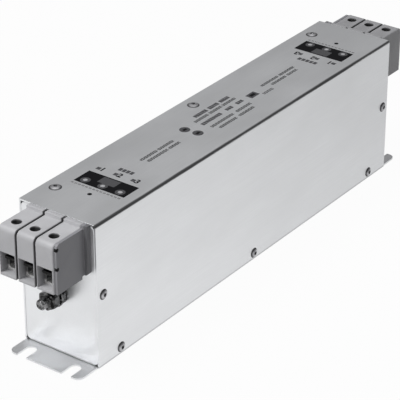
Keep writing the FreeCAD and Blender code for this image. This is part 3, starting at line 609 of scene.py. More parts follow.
@dataclass(frozen=True)
class CastBlock(Finish):
    """Ferrite, ceramic or resin: dense, with pores and small chips of tone."""

    rough: Pair = (0.49, 0.63)
    pores: float = 0.5
    coat: float = 0.0
    clouds: Pattern = Pattern(9.0, detail=2.0)

    def dress(self, bench: Bench) -> None:
        """Add pores, speckle and an optional coat.

        Args:
            bench: The material's bench.
        """
        speckle = bench.noise(Pattern(self.pores, roughness=0.6))
        chips = bench.spread(speckle, 0.35, 0.7, 0, 1)
        bench.feed("Base Color", bench.mix(chips, self.shade(1.12), self.shade(0.82)))
        bench.feed("Roughness", bench.even(bench.noise(self.clouds), *self.rough))
        bench.bump(speckle, 0.03, 0.5)
        bench.hold(Coat_Weight=self.coat, Coat_Roughness=0.2)


@dataclass(frozen=True)
class Laminate(Finish):
    """Solder-masked board with the glass weave showing faintly through."""

    weave: float = 0.9
    rough: Pair = (0.3, 0.42)
    clouds: Pattern = Pattern(14.0)

    def dress(self, bench: Bench) -> None:
        """Add the weave as two crossed waves and cloudy mask tone.

        Args:
            bench: The material's bench.
        """
        warp, weft = (
            bench.node("ShaderNodeTexWave", {"Vector": bench.place(), "Scale": 1.0 / self.weave},
                       wave_type="BANDS", bands_direction=letter).outputs["Fac"]
            for letter in "XY"
        )
        cloth = bench.times(warp, weft)
        clouds = bench.noise(self.clouds)
        tone = self.cloudy(bench, clouds, 0.85, 1.15)
        tone = bench.mix(bench.spread(cloth, 0.2, 0.9, 0, 0.25), tone, self.shade(1.5))
        bench.feed("Base Color", tone)
        bench.feed("Roughness", bench.even(clouds, *self.rough))
        bench.bump(cloth, 0.02, 0.3)


@dataclass(frozen=True)
class StudioPaper(Finish):
    """The ground: white for the camera and in reflections, shaded by what stands on it.

    In reflections it falls off a little from the front to the rear, as a lit table does.
    """

    near_y: float = -80.0
    far_y: float = 220.0
    far_glow: float = 0.76
    glow: float = 0.965
    fibre: Pattern = Pattern(60.0, detail=2.0)

    def dress(self, bench: Bench) -> None:
        """Mix the lit paper with plain white, nearly all of it white.

        Args:
            bench: The material's bench.
        """
        bench.feed("Base Color", self.cloudy(bench, bench.noise(self.fibre), 0.985, 1.0))
        bench.hold(Roughness=0.9, Specular_IOR_Level=0.1)
        path = bench.node("ShaderNodeLightPath").outputs
        camera = path["Is Camera Ray"]
        falling = bench.spread(bench.axis("Y"), self.near_y, self.far_y, 1.0, self.far_glow)
        level = bench.larger(camera, falling)
        white = bench.node("ShaderNodeEmission", {"Color": (1, 1, 1, 1), "Strength": level})
        share = bench.times(bench.larger(camera, path["Is Glossy Ray"]), self.glow)
        blend = bench.node("ShaderNodeMixShader",
                           {0: share, 1: bench.shader.outputs[0], 2: white.outputs[0]})
        output = bench.tree.nodes["Material Output"]
        bench.tree.links.new(blend.outputs[0], output.inputs["Surface"])


# Surfaces


def grid_faces(rows: int, columns: int, close_rows: bool) -> np.ndarray:
    """Return the quads of a grid of points numbered row by row, whose columns close a ring.

    Args:
        rows: Points along the first parameter.
        columns: Points round the second parameter.
        close_rows: Whether the last row joins the first.

    Returns:
        An array of four point numbers a face.
    """
    row = np.arange(rows if close_rows else rows - 1)
    i, j = np.meshgrid(row, np.arange(columns), indexing="ij")
    ahead, beside = (i + 1) % rows, (j + 1) % columns
    corners = [i * columns + j, i * columns + beside, ahead * columns + beside, ahead * columns + j]
    return np.stack(corners, axis=-1).reshape(-1, 4)


def hang(name: str, data: bpy.types.ID) -> Piece:
    """Return a new object with the given data, linked to the scene."""
    made = bpy.data.objects.new(name, data)
    bpy.context.scene.collection.objects.link(made)
    return made


def give_finish(mesh: bpy.types.Mesh, finish: Material) -> None:
    """Give a mesh one material in place of what it has."""
    mesh.materials.clear()
    mesh.materials.append(finish)


def smooth(mesh: bpy.types.Mesh, below: float) -> None:
    """Shade a mesh smooth across every edge flatter than the angle in degrees."""
    mesh.shade_smooth()
    mesh.set_sharp_from_angle(angle=math.radians(below))


def get_points(mesh: bpy.types.Mesh) -> np.ndarray:
    """Return a mesh's points as rows of three, in metres."""
    points = np.empty(len(mesh.vertices) * 3)
    mesh.vertices.foreach_get("co", points)
    return points.reshape(-1, 3)


@dataclass
class Shells:
    """Collects grids of points into the points and faces of one piece."""

    points: list[np.ndarray] = field(default_factory=list)
    faces: list[list[int]] = field(default_factory=list)
    count: int = 0

    def add(self, grid: np.ndarray, close_rows: bool = False) -> None:
        """Add one grid whose columns close a ring.

        Args:
            grid: Rows by columns by 3 array of points.
            close_rows: Whether the last row joins the first; if not, both are filled.
        """
        rows, columns = grid.shape[:2]
        self.faces.extend((grid_faces(rows, columns, close_rows) + self.count).tolist())
        if not close_rows:
            ring = np.arange(columns) + self.count
            self.faces.append(ring[::-1].tolist())
            self.faces.append((ring + (rows - 1) * columns).tolist())
        self.points.append(grid.reshape(-1, 3))
        self.count += rows * columns

    def stand_in(self, name: str, node: str, finish: Material,
                 smooth_below: float = 35.0) -> Piece:
        """Make the piece, as piece does, and let it replace a CAD node.

        Args:
            name: Name of the piece.
            node: The node that it stands for.
            finish: Its material.
            smooth_below: Edges flatter than this many degrees are shaded smooth.

        Returns:
            The new object.
        """
        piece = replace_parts(self.piece(name, finish, smooth_below), node)
        log.info("piece: %s in place of %s", name, node)
        return piece

    def piece(self, name: str, finish: Material, smooth_below: float) -> Piece:
        """Make one mesh piece at the origin with outward normals that rides on the case.

        Args:
            name: Name of the piece.
            finish: Its material.
            smooth_below: Edges flatter than this many degrees are shaded smooth.

        Returns:
            The new object.
        """
        mesh = bpy.data.meshes.new(name)
        mesh.from_pydata(np.concatenate(self.points).tolist(), [], self.faces)
        work = bmesh.new()
        work.from_mesh(mesh)
        bmesh.ops.remove_doubles(work, verts=work.verts, dist=1e-7)
        bmesh.ops.recalc_face_normals(work, faces=work.faces)
        work.to_mesh(mesh)
        work.free()
        smooth(mesh, smooth_below)
        give_finish(mesh, finish)
        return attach(hang(name, mesh), BODY)


def full_circle(steps: int) -> np.ndarray:
    """Return one row of equal angles that go once round."""
    return np.linspace(0.0, 2 * np.pi, steps, endpoint=False)[None, :]


def turned(radius: np.ndarray, height: np.ndarray, axis: Axis, foot: np.ndarray) -> np.ndarray:
    """Turn a profile about an axis: point = foot + R(angle) * radius + axis * height.

    Args:
        radius: Rows by columns array, the distance from the axis at each height and angle.
        height: Rows by columns array, the place along the axis.
        axis: Which way the axis points.
        foot: Where height 0 lies, in millimetres.

    Returns:
        Rows by columns by 3 array of points in metres.
    """
    angle = full_circle(radius.shape[1])
    height = np.broadcast_to(height, radius.shape)
    local = np.stack([radius * np.cos(angle), radius * np.sin(angle), height], axis=-1)
    return (local @ axis.basis().T + np.asarray(foot)) * MM


def lathe(profile: list[Pair], steps: int, axis: Axis, foot: np.ndarray) -> np.ndarray:
    """Turn one profile all round an axis, as turned does.

    Args:
        profile: Points as radius and height, in millimetres.
        steps: How many angles.
        axis: Which way the axis points.
        foot: Where height 0 lies, in millimetres.

    Returns:
        Rows by columns by 3 array of points in metres.
    """
    pairs = np.array(profile, float)
    radius = np.repeat(pairs[:, :1], steps, axis=1)
    return turned(radius, pairs[:, 1:], axis, foot)


def arc_points(centre: Pair, radius: float, start: float, stop: float, steps: int) -> list[Pair]:
    """Return points on an arc: centre + radius * (cos, sin) of angles in degrees."""
    angle = np.radians(np.linspace(start, stop, steps))
    return list(zip(centre[0] + radius * np.cos(angle), centre[1] + radius * np.sin(angle)))


def tube(path: np.ndarray, radius: float, sides: int) -> np.ndarray:
    """Carry a circle along a path: point = path + radius * (normal * cos + other * sin).

    The normal is handed on from point to point less its part along the path's direction, so
    the circle doesn't twist, and the other is the direction crossed with the normal.

    Args:
        path: Points in millimetres.
        radius: Radius in millimetres.
        sides: Points round the circle.

    Returns:
        Rows by sides by 3 array of points in metres.
    """
    ahead = np.gradient(path, axis=0)
    ahead /= np.linalg.norm(ahead, axis=1, keepdims=True)
    normal = np.zeros_like(path)
    carried = np.cross(ahead[0], [0.0, 0.3, 1.0])
    for n, direction in enumerate(ahead):
        carried = carried - direction * float(carried @ direction)
        carried /= np.linalg.norm(carried)
        normal[n] = carried
    other = np.cross(ahead, normal)
    angle = full_circle(sides)[..., None]
    circle = normal[:, None] * np.cos(angle) + other[:, None] * np.sin(angle)
    return (path[:, None] + radius * circle) * MM


def store_distance(piece: Piece, axis: Axis, feet: list[np.ndarray]) -> None:
    """Store each point's distance from the nearest axis as an attribute of the mesh.

    Args:
        piece: A piece of several turned shapes with parallel axes.
        axis: Which way the axes point.
        feet: A point of each axis, in millimetres.
    """
    across = [n for n, part in enumerate(axis.value) if not part]
    points = get_points(piece.data)[:, across] / MM
    away = np.linalg.norm(points[:, None] - np.array(feet)[None][..., across], axis=-1).min(axis=1)
    stored = piece.data.attributes.new(RivetMetal.attribute, "FLOAT", "POINT")
    stored.data.foreach_set("value", away)


def softened(node: str, finish: Material, width: float, bridged: bool = False) -> None:
    """Put a merged copy of a CAD node with small rounded edges in the node's place.

    Args:
        node: The node that the copy stands for.
        finish: Its material.
        width: Width of the rounding in millimetres.
        bridged: Whether its openings leave narrow bridges, which only keep their shape under the
            rounding when the faces are cut into triangles first.
    """
    corner = 40.0
    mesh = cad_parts[node].data.copy()
    mesh.name = node + "_finished"
    work = bmesh.new()
    work.from_mesh(mesh)
    bmesh.ops.remove_doubles(work, verts=work.verts, dist=2e-6)
    bmesh.ops.dissolve_limit(work, angle_limit=math.radians(0.3), verts=work.verts, edges=work.edges)
    if bridged:
        bmesh.ops.triangulate(work, faces=work.faces)
    work.to_mesh(mesh)
    work.free()
    give_finish(mesh, finish)
    smooth(mesh, corner)
    piece = hang(mesh.name, mesh)
    rounding = piece.modifiers.new("edge_rounding", "BEVEL")
    rounding.width = width * MM
    rounding.segments = 2
    rounding.limit_method = "ANGLE"
    rounding.angle_limit = math.radians(corner)
    rounding.harden_normals = False
    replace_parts(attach(piece, BODY), node)


def dress_nodes(finish: Material, *nodes: str) -> None:
    """Give CAD nodes a finish in place of the plain one."""
    for node in nodes:
        give_finish(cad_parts[node].data, finish)


# Sub-assemblies


@dataclass
class SheetCase:
    """The folded tray, the cover and the end walls, with their blind rivets.

    Sizes are millimetres; a rivet's head is its radius and its rise over the sheet.
    """

    half_width: float = 25.0
    height: float = 85.0
    lid_rivet_x: float = -17.5
    lid_rivet_reach: float = 120.0
    lid_head: Pair = (3.5, 0.9)
    low_rivet_z: float = 4.4
    low_rivet_reach: float = 121.5
    end_rivet_z: float = 43.0
    end_rivet_reach: float = 135.0
    side_head: Pair = (3.0, 1.1)
    recess: float = 0.7
    lip: float = 0.12
    pin: float = 0.05
    shank: float = 1.6
    grip: float = 2.0
    tail: float = 2.1
    tail_length: float = 1.4
    sides: int = 48
    dome_steps: int = 9
    edge: float = 0.14

    def build(self, shop: "Workshop") -> None:
        """Dress the sheets and set the rivets.

        Args:
            shop: The finishes.
        """
        for node in ("cover", "base_tray", "front_end_wall", "rear_end_wall"):
            finish = shop.fold_sheet if node == "cover" else shop.sheet
            softened(node, finish, self.edge)
            log.info("sheet: %s", node)
        lid = [(self.lid_rivet_x, y, self.height)
               for y in (-self.lid_rivet_reach, 0.0, self.lid_rivet_reach)]
        self.set_rivets("lid", Axis.UP, lid, self.lid_head, shop.lid_rivet)
        side = [(self.half_width, y, self.low_rivet_z)
                for y in (-self.low_rivet_reach, 0.0, self.low_rivet_reach)]
        side += [(self.half_width, y, self.end_rivet_z)
                 for y in (-self.end_rivet_reach, self.end_rivet_reach)]
        self.set_rivets("side", Axis.RIGHT, side, self.side_head, shop.side_rivet)

    def set_rivets(self, face: str, axis: Axis, feet: list[Triple], head: Pair,
                   finish: Material) -> None:
        """Set the rivets of one face.

        Args:
            face: The face's name.
            axis: Which way it looks.
            feet: Where each head stands on it.
            head: Radius and rise of a head.
            finish: Their material.
        """
        shells = Shells()
        for foot in feet:
            shells.add(lathe(self.rivet_profile(*head), self.sides, axis, foot))
        piece = shells.stand_in(f"{face}_rivet_set", f"{face}_rivets", finish)
        store_distance(piece, axis, feet)

    def rivet_profile(self, head: float, rise: float) -> list[Pair]:
        """Return points from the recess in the head, over the dome, to the tail.

        The dome is a circle's arc through the rim and the recess's mouth, begun two degrees
        past the mouth, which bevels its edge.

        Args:
            head: The head's radius.
            rise: Its height over the sheet.

        Returns:
            Points as radius and height.
        """
        mouth, floor = RivetMetal.mouth, rise - self.recess
        centre = (rise**2 + mouth**2 - head**2) / (2 * rise)
        radius = math.hypot(head, centre)
        start = math.degrees(math.atan2(rise - centre, mouth))
        stop = math.degrees(math.atan2(self.lip - centre, head))
        dome = arc_points((0.0, centre), radius, start + 2.0, stop, self.dome_steps)
        end = -self.grip - self.tail_length
        return [
            (self.pin, floor), (mouth * 0.92, floor), (mouth, floor + 0.1), (mouth, rise - 0.05),
            *dome, (head, 0.02), (head - 0.05, 0.0), (self.shank, 0.0), (self.shank, -self.grip),
            (self.tail, -self.grip), (self.tail + 0.15, -self.grip - self.tail_length / 2),
            (self.tail * 0.7, end), (self.pin, end),
        ]


@dataclass
class LidPrint:
    """The generic print on the lid: fields, discs, word-like marks and plain numbers.

    X and Y are millimetres from the print's own middle, which is set off from the lid's. A
    label is a row of blocks: how far it goes to either side and how many blocks it has.
    """

    lid: float = 85.0
    film: float = 0.03
    lift: float = 0.004
    set_off: Pair = (1.5, 1.1)
    field_x: float = 16.5
    field_y: Pair = (96.3, 109.3)
    disc_y: float = 105.8
    disc_radius: float = 2.8
    disc_middle: float = 0.45
    pole_x: float = 11.5
    patch_x: float = 5.5
    patch_y: Pair = (97.2, 103.6)
    small_print_y: Pair = (110.7, 111.9)
    small_marks: int = 14
    number_y: float = 91.5
    number_size: float = 5.46
    number_weight: float = 0.18
    number_block: Triple = (1.3, 3.9, 1.3)
    label_y: Pair = (84.2, 87.2)
    front_label: tuple[float, int] = (5.0, 4)
    rear_label: tuple[float, int] = (6.7, 5)
    dot_y: float = 116.5
    dot_radius: float = 1.25
    stroke: float = 0.42
    round_radius: float = 3.1
    disc_sides: int = 28
    blocks: dict[Ink, Shells] = field(default_factory=lambda: {ink: Shells() for ink in Ink})

    def build(self, shop: "Workshop") -> None:
        """Lay both end fields, the middle text and the numbers.

        Args:
            shop: The finishes.
        """
        for end in End:
            self.lay_end(end)
        self.lay_middle()
        for ink, shells in self.blocks.items():
            piece = shells.piece(f"lid_print_{ink.value}", shop.inks[ink], smooth_below=20.0)
            log.info("print: %s", piece.name)
        for end in End:
            for number, x in enumerate(self.poles, start=1):
                self.lay_number(end, number, x * -end.sign, shop.inks[Ink.BLACK])

    @property
    def poles(self) -> Triple:
        """Return the X of the three terminals' marks."""
        return (-self.pole_x, 0.0, self.pole_x)

    def plate(self, ink: Ink, x: Pair, y: Pair, level: int = 1) -> None:
        """Lay a rectangle of ink.

        Args:
            ink: Which ink.
            x: Its two X, in either order.
            y: Its two Y, in either order.
            level: How many films high its top lies.
        """
        (left, right), (low, high) = sorted(x), sorted(y)
        ring = np.array([[left, low], [right, low], [right, high], [left, high]]) + self.set_off
        heights = (self.lid + self.lift, self.lid + self.film * level)
        rows = [np.column_stack([ring, np.full(4, z)]) for z in heights]
        self.blocks[ink].add(np.array(rows) * MM)

    def disc(self, ink: Ink, x: float, y: float, radius: float, level: int = 1) -> None:
        """Lay a round of ink.

        Args:
            ink: Which ink.
            x: Its middle's X.
            y: Its middle's Y.
            radius: Its radius.
            level: How many films high its top lies.
        """
        foot = (x + self.set_off[0], y + self.set_off[1], self.lid)
        profile = [(radius, self.lift), (radius, self.film * level)]
        self.blocks[ink].add(lathe(profile, self.disc_sides, Axis.UP, foot))

    def words(self, ink: Ink, x: float, height: float, spans: list[Pair],
              kind: Lettering = Lettering.LIGHT) -> None:
        """Lay words as rows of marks that run along Y.

        A light mark is a stem with two bars and a bold one is a block. Their height follows
        a slow wave, so no two words look the same and none can be read.

        Args:
            ink: Which ink.
            x: The line's X.
            height: Its height along X.
            spans: First and last Y of each word.
            kind: Which marks.
        """
        pitch, share, swing, pace, filled = kind.value
        for start, stop in spans:
            count = max(round((stop - start) / pitch), 1)
            width = (stop - start) / count
            for n in range(count):
                low = start + n * width
                high = low + width * filled
                half = height * (share + swing * math.sin(pace * n + start))
                if kind is Lettering.BOLD:
                    self.plate(ink, (x - half, x + half), (low, high))
                    continue
                stem, bar = low + self.stroke * width, self.stroke * half
                self.plate(ink, (x - half, x + half), (low, stem))
                for edge in (-half, half - bar):
                    self.plate(ink, (x + edge, x + edge + bar), (stem, high))

    def row(self, ink: Ink, reach: float, count: int, filled: float, y: Pair) -> None:
        """Lay equal blocks side by side along X.

        Args:
            ink: Which ink.
            reach: How far the row goes to either side.
            count: How many blocks.
            filled: The inked part of each.
            y: Their two Y.
        """
        step = 2 * reach / count
        for n in range(count):
            left = n * step - reach
            self.plate(ink, (left, left + step * filled), y)

    def lay_end(self, end: End) -> None:
        """Lay the black field with its discs and patch, the small print, the dot and the blocks.

        Args:
            end: Which end of the lid.
        """
        side = end.sign
        field_y, patch_y, print_y, label_y = (
            (side * low, side * high)
            for low, high in (self.field_y, self.patch_y, self.small_print_y, self.label_y)
        )
        self.plate(Ink.BLACK, (-self.field_x, self.field_x), field_y)
        self.plate(Ink.GREY, (-self.patch_x, self.patch_x), patch_y, level=2)
        for x in self.poles:
            self.disc(Ink.GREY, x, side * self.disc_y, self.disc_radius, level=3)
            self.disc(Ink.PALE, x, side * self.disc_y, self.disc_radius * self.disc_middle, level=4)
        self.row(Ink.FAINT, self.field_x, self.small_marks, 0.7, print_y)
        self.disc(Ink.BLACK, 0.0, side * self.dot_y, self.dot_radius)
        reach, count = self.front_label if end is End.FRONT else self.rear_label
        self.row(Ink.GREY, reach, count, 0.8, label_y)
        near, far, half = self.number_block
        middle = side * self.number_y
        for x in self.poles:
            self.plate(Ink.GREY, (x + side * near, x + side * far), (middle - half, middle + half))

    def lay_middle(self) -> None:
        """Lay the text lines, the two discs and the patches between the end fields."""
        self.words(Ink.BLACK, -1.8, 2.1, [(-71.5, -57.0), (-56.0, -42.5)])
        self.words(Ink.BLACK, 2.0, 2.1, [(-70.0, -52.5), (-51.5, -42.0)])
        for x, y in ((-4.6, -28.5), (3.6, -27.5)):
            self.disc(Ink.GREY, x, y, self.round_radius)
            self.plate(Ink.BLACK, (x - 0.8, x + 0.8), (y - 1.4, y + 1.4), level=2)
        self.words(Ink.GREY, -9.4, 2.9, [(-13.0, -1.5), (0.3, 9.2), (10.8, 19.4)], Lettering.BOLD)
        self.words(Ink.BLACK, -5.5, 2.1, [(-18.0, -5.5), (-4.2, 7.0), (8.2, 20.2)])
        self.words(Ink.GREY, -0.5, 2.7, [(-18.0, -0.2), (4.5, 10.5), (14.5, 20.5)], Lettering.BOLD)
        self.words(Ink.BLACK, 5.2, 2.1, [(-17.2, 3.4), (6.4, 20.2)])
        self.words(Ink.BLACK, 9.4, 2.1, [(-15.2, 0.6), (3.2, 17.4)])
        self.plate(Ink.GREY, (-2.3, 2.6), (25.4, 33.0))
        self.plate(Ink.BLACK, (-0.9, 1.2), (27.0, 31.4), level=2)
        self.words(Ink.GREY, 4.4, 2.2, [(34.0, 43.5)])
        self.words(Ink.BLACK, -2.4, 2.0, [(41.5, 58.4), (59.6, 74.5)])
        self.words(Ink.BLACK, 1.2, 2.0, [(47.0, 61.2), (62.6, 72.5)])

    def lay_number(self, end: End, number: int, x: float, ink: Material) -> None:
        """Lay one plain number that is read from its own end.

        Args:
            end: Which end of the lid.
            number: The number.
            x: Its middle's X.
            ink: Its material.
        """
        curve = bpy.data.curves.new(f"number_{number}", "FONT")
        curve.body = str(number)
        curve.size = self.number_size * MM
        curve.offset = self.number_weight * MM
        curve.extrude = self.film * MM / 2
        curve.align_x, curve.align_y = "CENTER", "CENTER"
        text = hang(curve.name, curve)
        bpy.context.view_layer.update()
        mesh = bpy.data.meshes.new_from_object(text.evaluated_get(bpy.context.evaluated_depsgraph_get()))
        bpy.data.objects.remove(text)
        side = end.sign
        middle = (x + self.set_off[0], side * self.number_y + self.set_off[1],
                  self.lid + self.film / 2 + self.lift)
        points = get_points(mesh) * np.array([-side, -side, 1.0]) + np.array(middle) * MM
        mesh.vertices.foreach_set("co", points.ravel())
        give_finish(mesh, ink)
        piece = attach(hang(f"lid_number_{end.value}_{number}", mesh), BODY)
        log.info("print: %s", piece.name)


@dataclass
class TerminalRow:
    """Three clamp terminals and the plate that closes their row.

    Edges are the widths of their roundings in millimetres.
    """

    end: End
    edge: float = 0.28
    clamp_edge: float = 0.2
    screw_edge: float = 0.15

    def build(self, shop: "Workshop") -> None:
        """Finish the housings, the clamps, the bars, the screws and the plate.

        Args:
            shop: The finishes.
        """
        name = self.end.value
        # The far row takes the darker copy of the plastic, which is painted shade.
        plastic = shop.housing if self.end is End.FRONT else shop.far_housing
        for number in (1, 2, 3):
            softened(f"{name}_terminal_{number}", plastic, self.edge, bridged=True)
            softened(f"{name}_clamp_{number}", shop.clamp, self.clamp_edge)
            dress_nodes(shop.tinned, f"{name}_contact_bar_{number}")
            log.info("terminal: %s %d", name, number)
        softened(f"{name}_clamp_screws", shop.screw, self.screw_edge)
        softened(f"{name}_end_plate", shop.plate, self.edge)
        log.info("end plate: %s", name)


@dataclass
class EarthStud:
    """Threaded stud with its nuts and washers, all turned or milled about one axis.

    Sizes are millimetres, and places are counted outwards from the end wall.
    """

    end: End
    height: float = 37.5
    wall: float = 140.0
    radius: float = 3.0
    pitch: float = 1.0
    thread_depth: float = 0.55
    thread_rows: int = 170
    thread_sides: int = 40
    tip: float = 16.0
    tip_bevel: float = 0.8
    pin: float = 0.05
    head_radius: float = 5.0
    head_bevel: float = 0.15
    head: Pair = (-2.5, -1.0)
    nut_across: float = 10.0
    nut_sides: int = 96
    bore_bevel: float = 0.3
    fixing_nut: Pair = (0.8, 3.8)
    earth_nut: Pair = (5.8, 10.8)
    washer_gap: float = 0.2
    washer_radius: float = 6.0
    washer_sides: int = 64
    plain_washer: Pair = (3.8, 5.0)
    toothed: tuple[Pair, Pair] = ((0.0, 0.8), (5.0, 5.8))
    tooth_count: int = 10
    tooth_steps: int = 16
    tooth_root: float = 4.0
    tooth_length: float = 1.5
    tooth_half: float = 0.26
    tooth_twist: float = 0.14

    @property
    def foot(self) -> np.ndarray:
        """Return the point where the axis leaves the end wall."""
        return np.array([0.0, self.end.sign * self.wall, self.height])

    def build(self, shop: "Workshop") -> None:
        """Make the stud, nuts and washers in place of the plain CAD ones.

        Args:
            shop: The finishes.
        """
        name = self.end.value
        teeth = [self.teeth(*span) for span in self.toothed]
        for label, grids, finish, node, slot in (
            ("threaded_stud", [self.stud()], shop.stud, "earth_stud", "stud_steel"),
            ("thin_nut", [self.nut(*self.fixing_nut)], shop.nut, "fixing_nut", "nut_steel"),
            ("lug_nut", [self.nut(*self.earth_nut)], shop.nut, "earth_nut", "nut_steel"),
            ("flat_washer", [self.ring(*self.plain_washer)], shop.washer, "plain_washer", "nut_steel"),
            ("lock_washers", teeth, shop.washer, "toothed_washers", "nut_steel"),
        ):
            shells = Shells()
            for grid in grids:
                shells.add(grid, close_rows=label != "threaded_stud")
            shells.stand_in(f"{name}_{label}", f"{name}_{node}", finish)

    def stud(self) -> np.ndarray:
        """Return the stud: radius = outer - depth * ridge(height / pitch - angle / turn).

        The ridge is a cosine wave with flattened crests and roots, the thread fades out at
        the wall, and the tip is bevelled.
        """
        back, front = self.head
        bevel = self.head_bevel
        height = np.concatenate([
            [back, back, back + bevel, front - bevel, front, front],
            np.linspace(front, self.tip, self.thread_rows), [self.tip],
        ])[:, None]
        angle = full_circle(self.thread_sides)
        turn = height / self.pitch - angle / (2 * np.pi)
        ridge = np.clip(1.3 * (0.5 + 0.5 * np.cos(2 * np.pi * turn)) - 0.15, 0.0, 1.0)
        fade = np.clip((height + 0.2) / 1.2, 0.0, 1.0)
        past = np.clip(height - (self.tip - self.tip_bevel), 0.0, None)
        radius = np.minimum(self.radius - self.thread_depth * ridge * fade, self.radius - past)
        head = self.head_radius
        radius[:6] = np.array([self.pin, head - 0.2, head, head, head - bevel, self.radius])[:, None]
        radius[-1] = self.pin
        return turned(radius, height, self.end.outward, self.foot)

    def nut(self, start: float, stop: float) -> np.ndarray:
        """Return a nut: radius = the smaller of the hexagon and the two corner cones.

        The hexagon is flat / cos(angle from the middle of the nearest flat). Each cone starts
        just inside the flats at a face and opens at 30 degrees; the bore closes the ring.

        Args:
            start: Its inner face.
            stop: Its outer face.

        Returns:
            Rows by columns by 3 array of points in metres.
        """
        flat = self.nut_across / 2
        rim, throat = flat - 0.15, self.radius + self.bore_bevel
        inwards = np.array([0.0, 0.0, 0.18, 0.36, 0.7])
        bore = np.array([stop - 0.35, start + 0.35])
        height = np.concatenate([start + inwards, [(start + stop) / 2], stop - inwards[::-1], bore])
        angle = full_circle(self.nut_sides)
        off_flat = (angle + np.pi / 6) % (np.pi / 3) - np.pi / 6
        depth = np.minimum(height - start, stop - height)[:, None]
        cone = flat - 0.1 + depth * math.tan(math.radians(60.0))
        radius = np.minimum(flat / np.cos(off_flat), cone)
        # Rows 0, 9 and 10 open the bore, rows 1 and 8 are the faces' rims, and the last two
        # are the bore itself.
        radius[[0, 9, 10]] = throat
        radius[[1, 8]] = rim
        radius[[11, 12]] = self.radius
        return turned(radius, height[:, None], self.end.outward, self.foot)

    def ring(self, start: float, stop: float) -> np.ndarray:
        """Return a plain washer with softly rounded edges.

        Args:
            start: Its inner face.
            stop: Its outer face.

        Returns:
            Rows by columns by 3 array of points in metres.
        """
        bore, outer = self.radius + self.washer_gap, self.washer_radius
        profile = [
            (bore, start + 0.1), (bore + 0.1, start), (outer - 0.2, start), (outer, start + 0.2),
            (outer, stop - 0.2), (outer - 0.2, stop), (bore + 0.1, stop), (bore, stop - 0.1),
        ]
        return lathe(profile, self.washer_sides, self.end.outward, self.foot)

    def teeth(self, start: float, stop: float) -> np.ndarray:
        """Return a lock washer: outer radius and lift follow the tooth wave round the ring.

        A tooth is where the wave is high; each tooth is twisted, so one edge stands proud.

        Args:
            start: Its inner face.
            stop: Its outer face.

        Returns:
            Rows by columns by 3 array of points in metres.
        """
        angle = full_circle(self.tooth_count * self.tooth_steps)
        phase = angle * self.tooth_count
        wave = np.clip(0.5 + 2.4 * np.cos(phase), 0.0, 1.0)
        middle, half = (start + stop) / 2, self.tooth_half
        twist = self.tooth_twist * np.sin(phase)
        outer = self.tooth_root + self.tooth_length * wave
        bore = np.full_like(angle, self.radius + self.washer_gap)
        root = np.full_like(angle, self.tooth_root - 0.1)
        rows = [(bore, -half, 0), (root, -half, 0), (outer, -half, 1), (outer, half, 1),
                (root, half, 0), (bore, half, 0)]
        radius = np.concatenate([row[0] for row in rows])
        height = np.concatenate([middle + row[1] + twist * row[2] for row in rows])
        return turned(radius, height, self.end.outward, self.foot)


@dataclass
class ChokeAndCircuit:
    """The three-phase choke with its wound turns, and the dressed pieces of the circuit.

    Sizes are millimetres, and the span of a winding is degrees round the core.
    """

    centre_z: float = 47.0
    core_inner: float = 16.0
    core_outer: float = 28.0
    core_half: float = 11.0
    wire: float = 1.55
    clear: float = 0.25
    turns: int = 9
    span: float = 92.0
    corner_power: float = 0.36
    turn_steps: int = 40
    wire_sides: int = 10
    box_edge: float = 0.2

    def build(self, shop: "Workshop") -> None:
        """Wind the choke and dress the nodes of the circuit.

        Args:
            shop: The finishes.
        """
        for number in (1, 2, 3):
            shells = Shells()
            shells.add(self.winding(120.0 * (number - 0.5)))
            shells.stand_in(f"choke_turns_{number}", f"choke_winding_{number}",
                            shop.enamel, smooth_below=60.0)
        dress_nodes(shop.natural, "choke_cradle", "phase_separator", "board_posts")
        dress_nodes(shop.ferrite, "choke_core")
        dress_nodes(shop.board, "circuit_board")
        dress_nodes(shop.film, "insulating_liner")
        dress_nodes(shop.blue_box, "earth_capacitor")
        dress_nodes(shop.resistor, "bleed_resistors")
        dress_nodes(shop.copper, "earth_strap", "front_links", "rear_links")
        for end in End:
            for number in (1, 2, 3):
                softened(f"{end.value}_capacitor_{number}", shop.box, self.box_edge)
            log.info("circuit: %s capacitors", end.value)

    def winding(self, middle: float) -> np.ndarray:
        """Return one wire wound round the core.

        The wire's centre runs round the core's rectangular section, rounded by a superellipse,
        once for each turn while it creeps along the span; its section is a circle across the path.

        Args:
            middle: The winding's middle in degrees round the core.

        Returns:
            Rows by columns by 3 array of points in metres.
        """
        turn = np.linspace(0.0, self.turns, self.turns * self.turn_steps)
        angle = 2 * np.pi * turn
        along = np.radians(middle + self.span * (turn / self.turns - 0.5))
        reach = self.wire + self.clear
        half_depth = (self.core_outer - self.core_inner) / 2 + reach
        depth, across = (
            half * np.sign(wave) * np.abs(wave) ** self.corner_power
            for half, wave in ((half_depth, np.cos(angle)), (self.core_half + reach, np.sin(angle)))
        )
        ring = (self.core_inner + self.core_outer) / 2 + depth
        path = np.stack([across, ring * np.cos(along), self.centre_z + ring * np.sin(along)], axis=-1)
        return tube(path, self.wire, self.wire_sides)


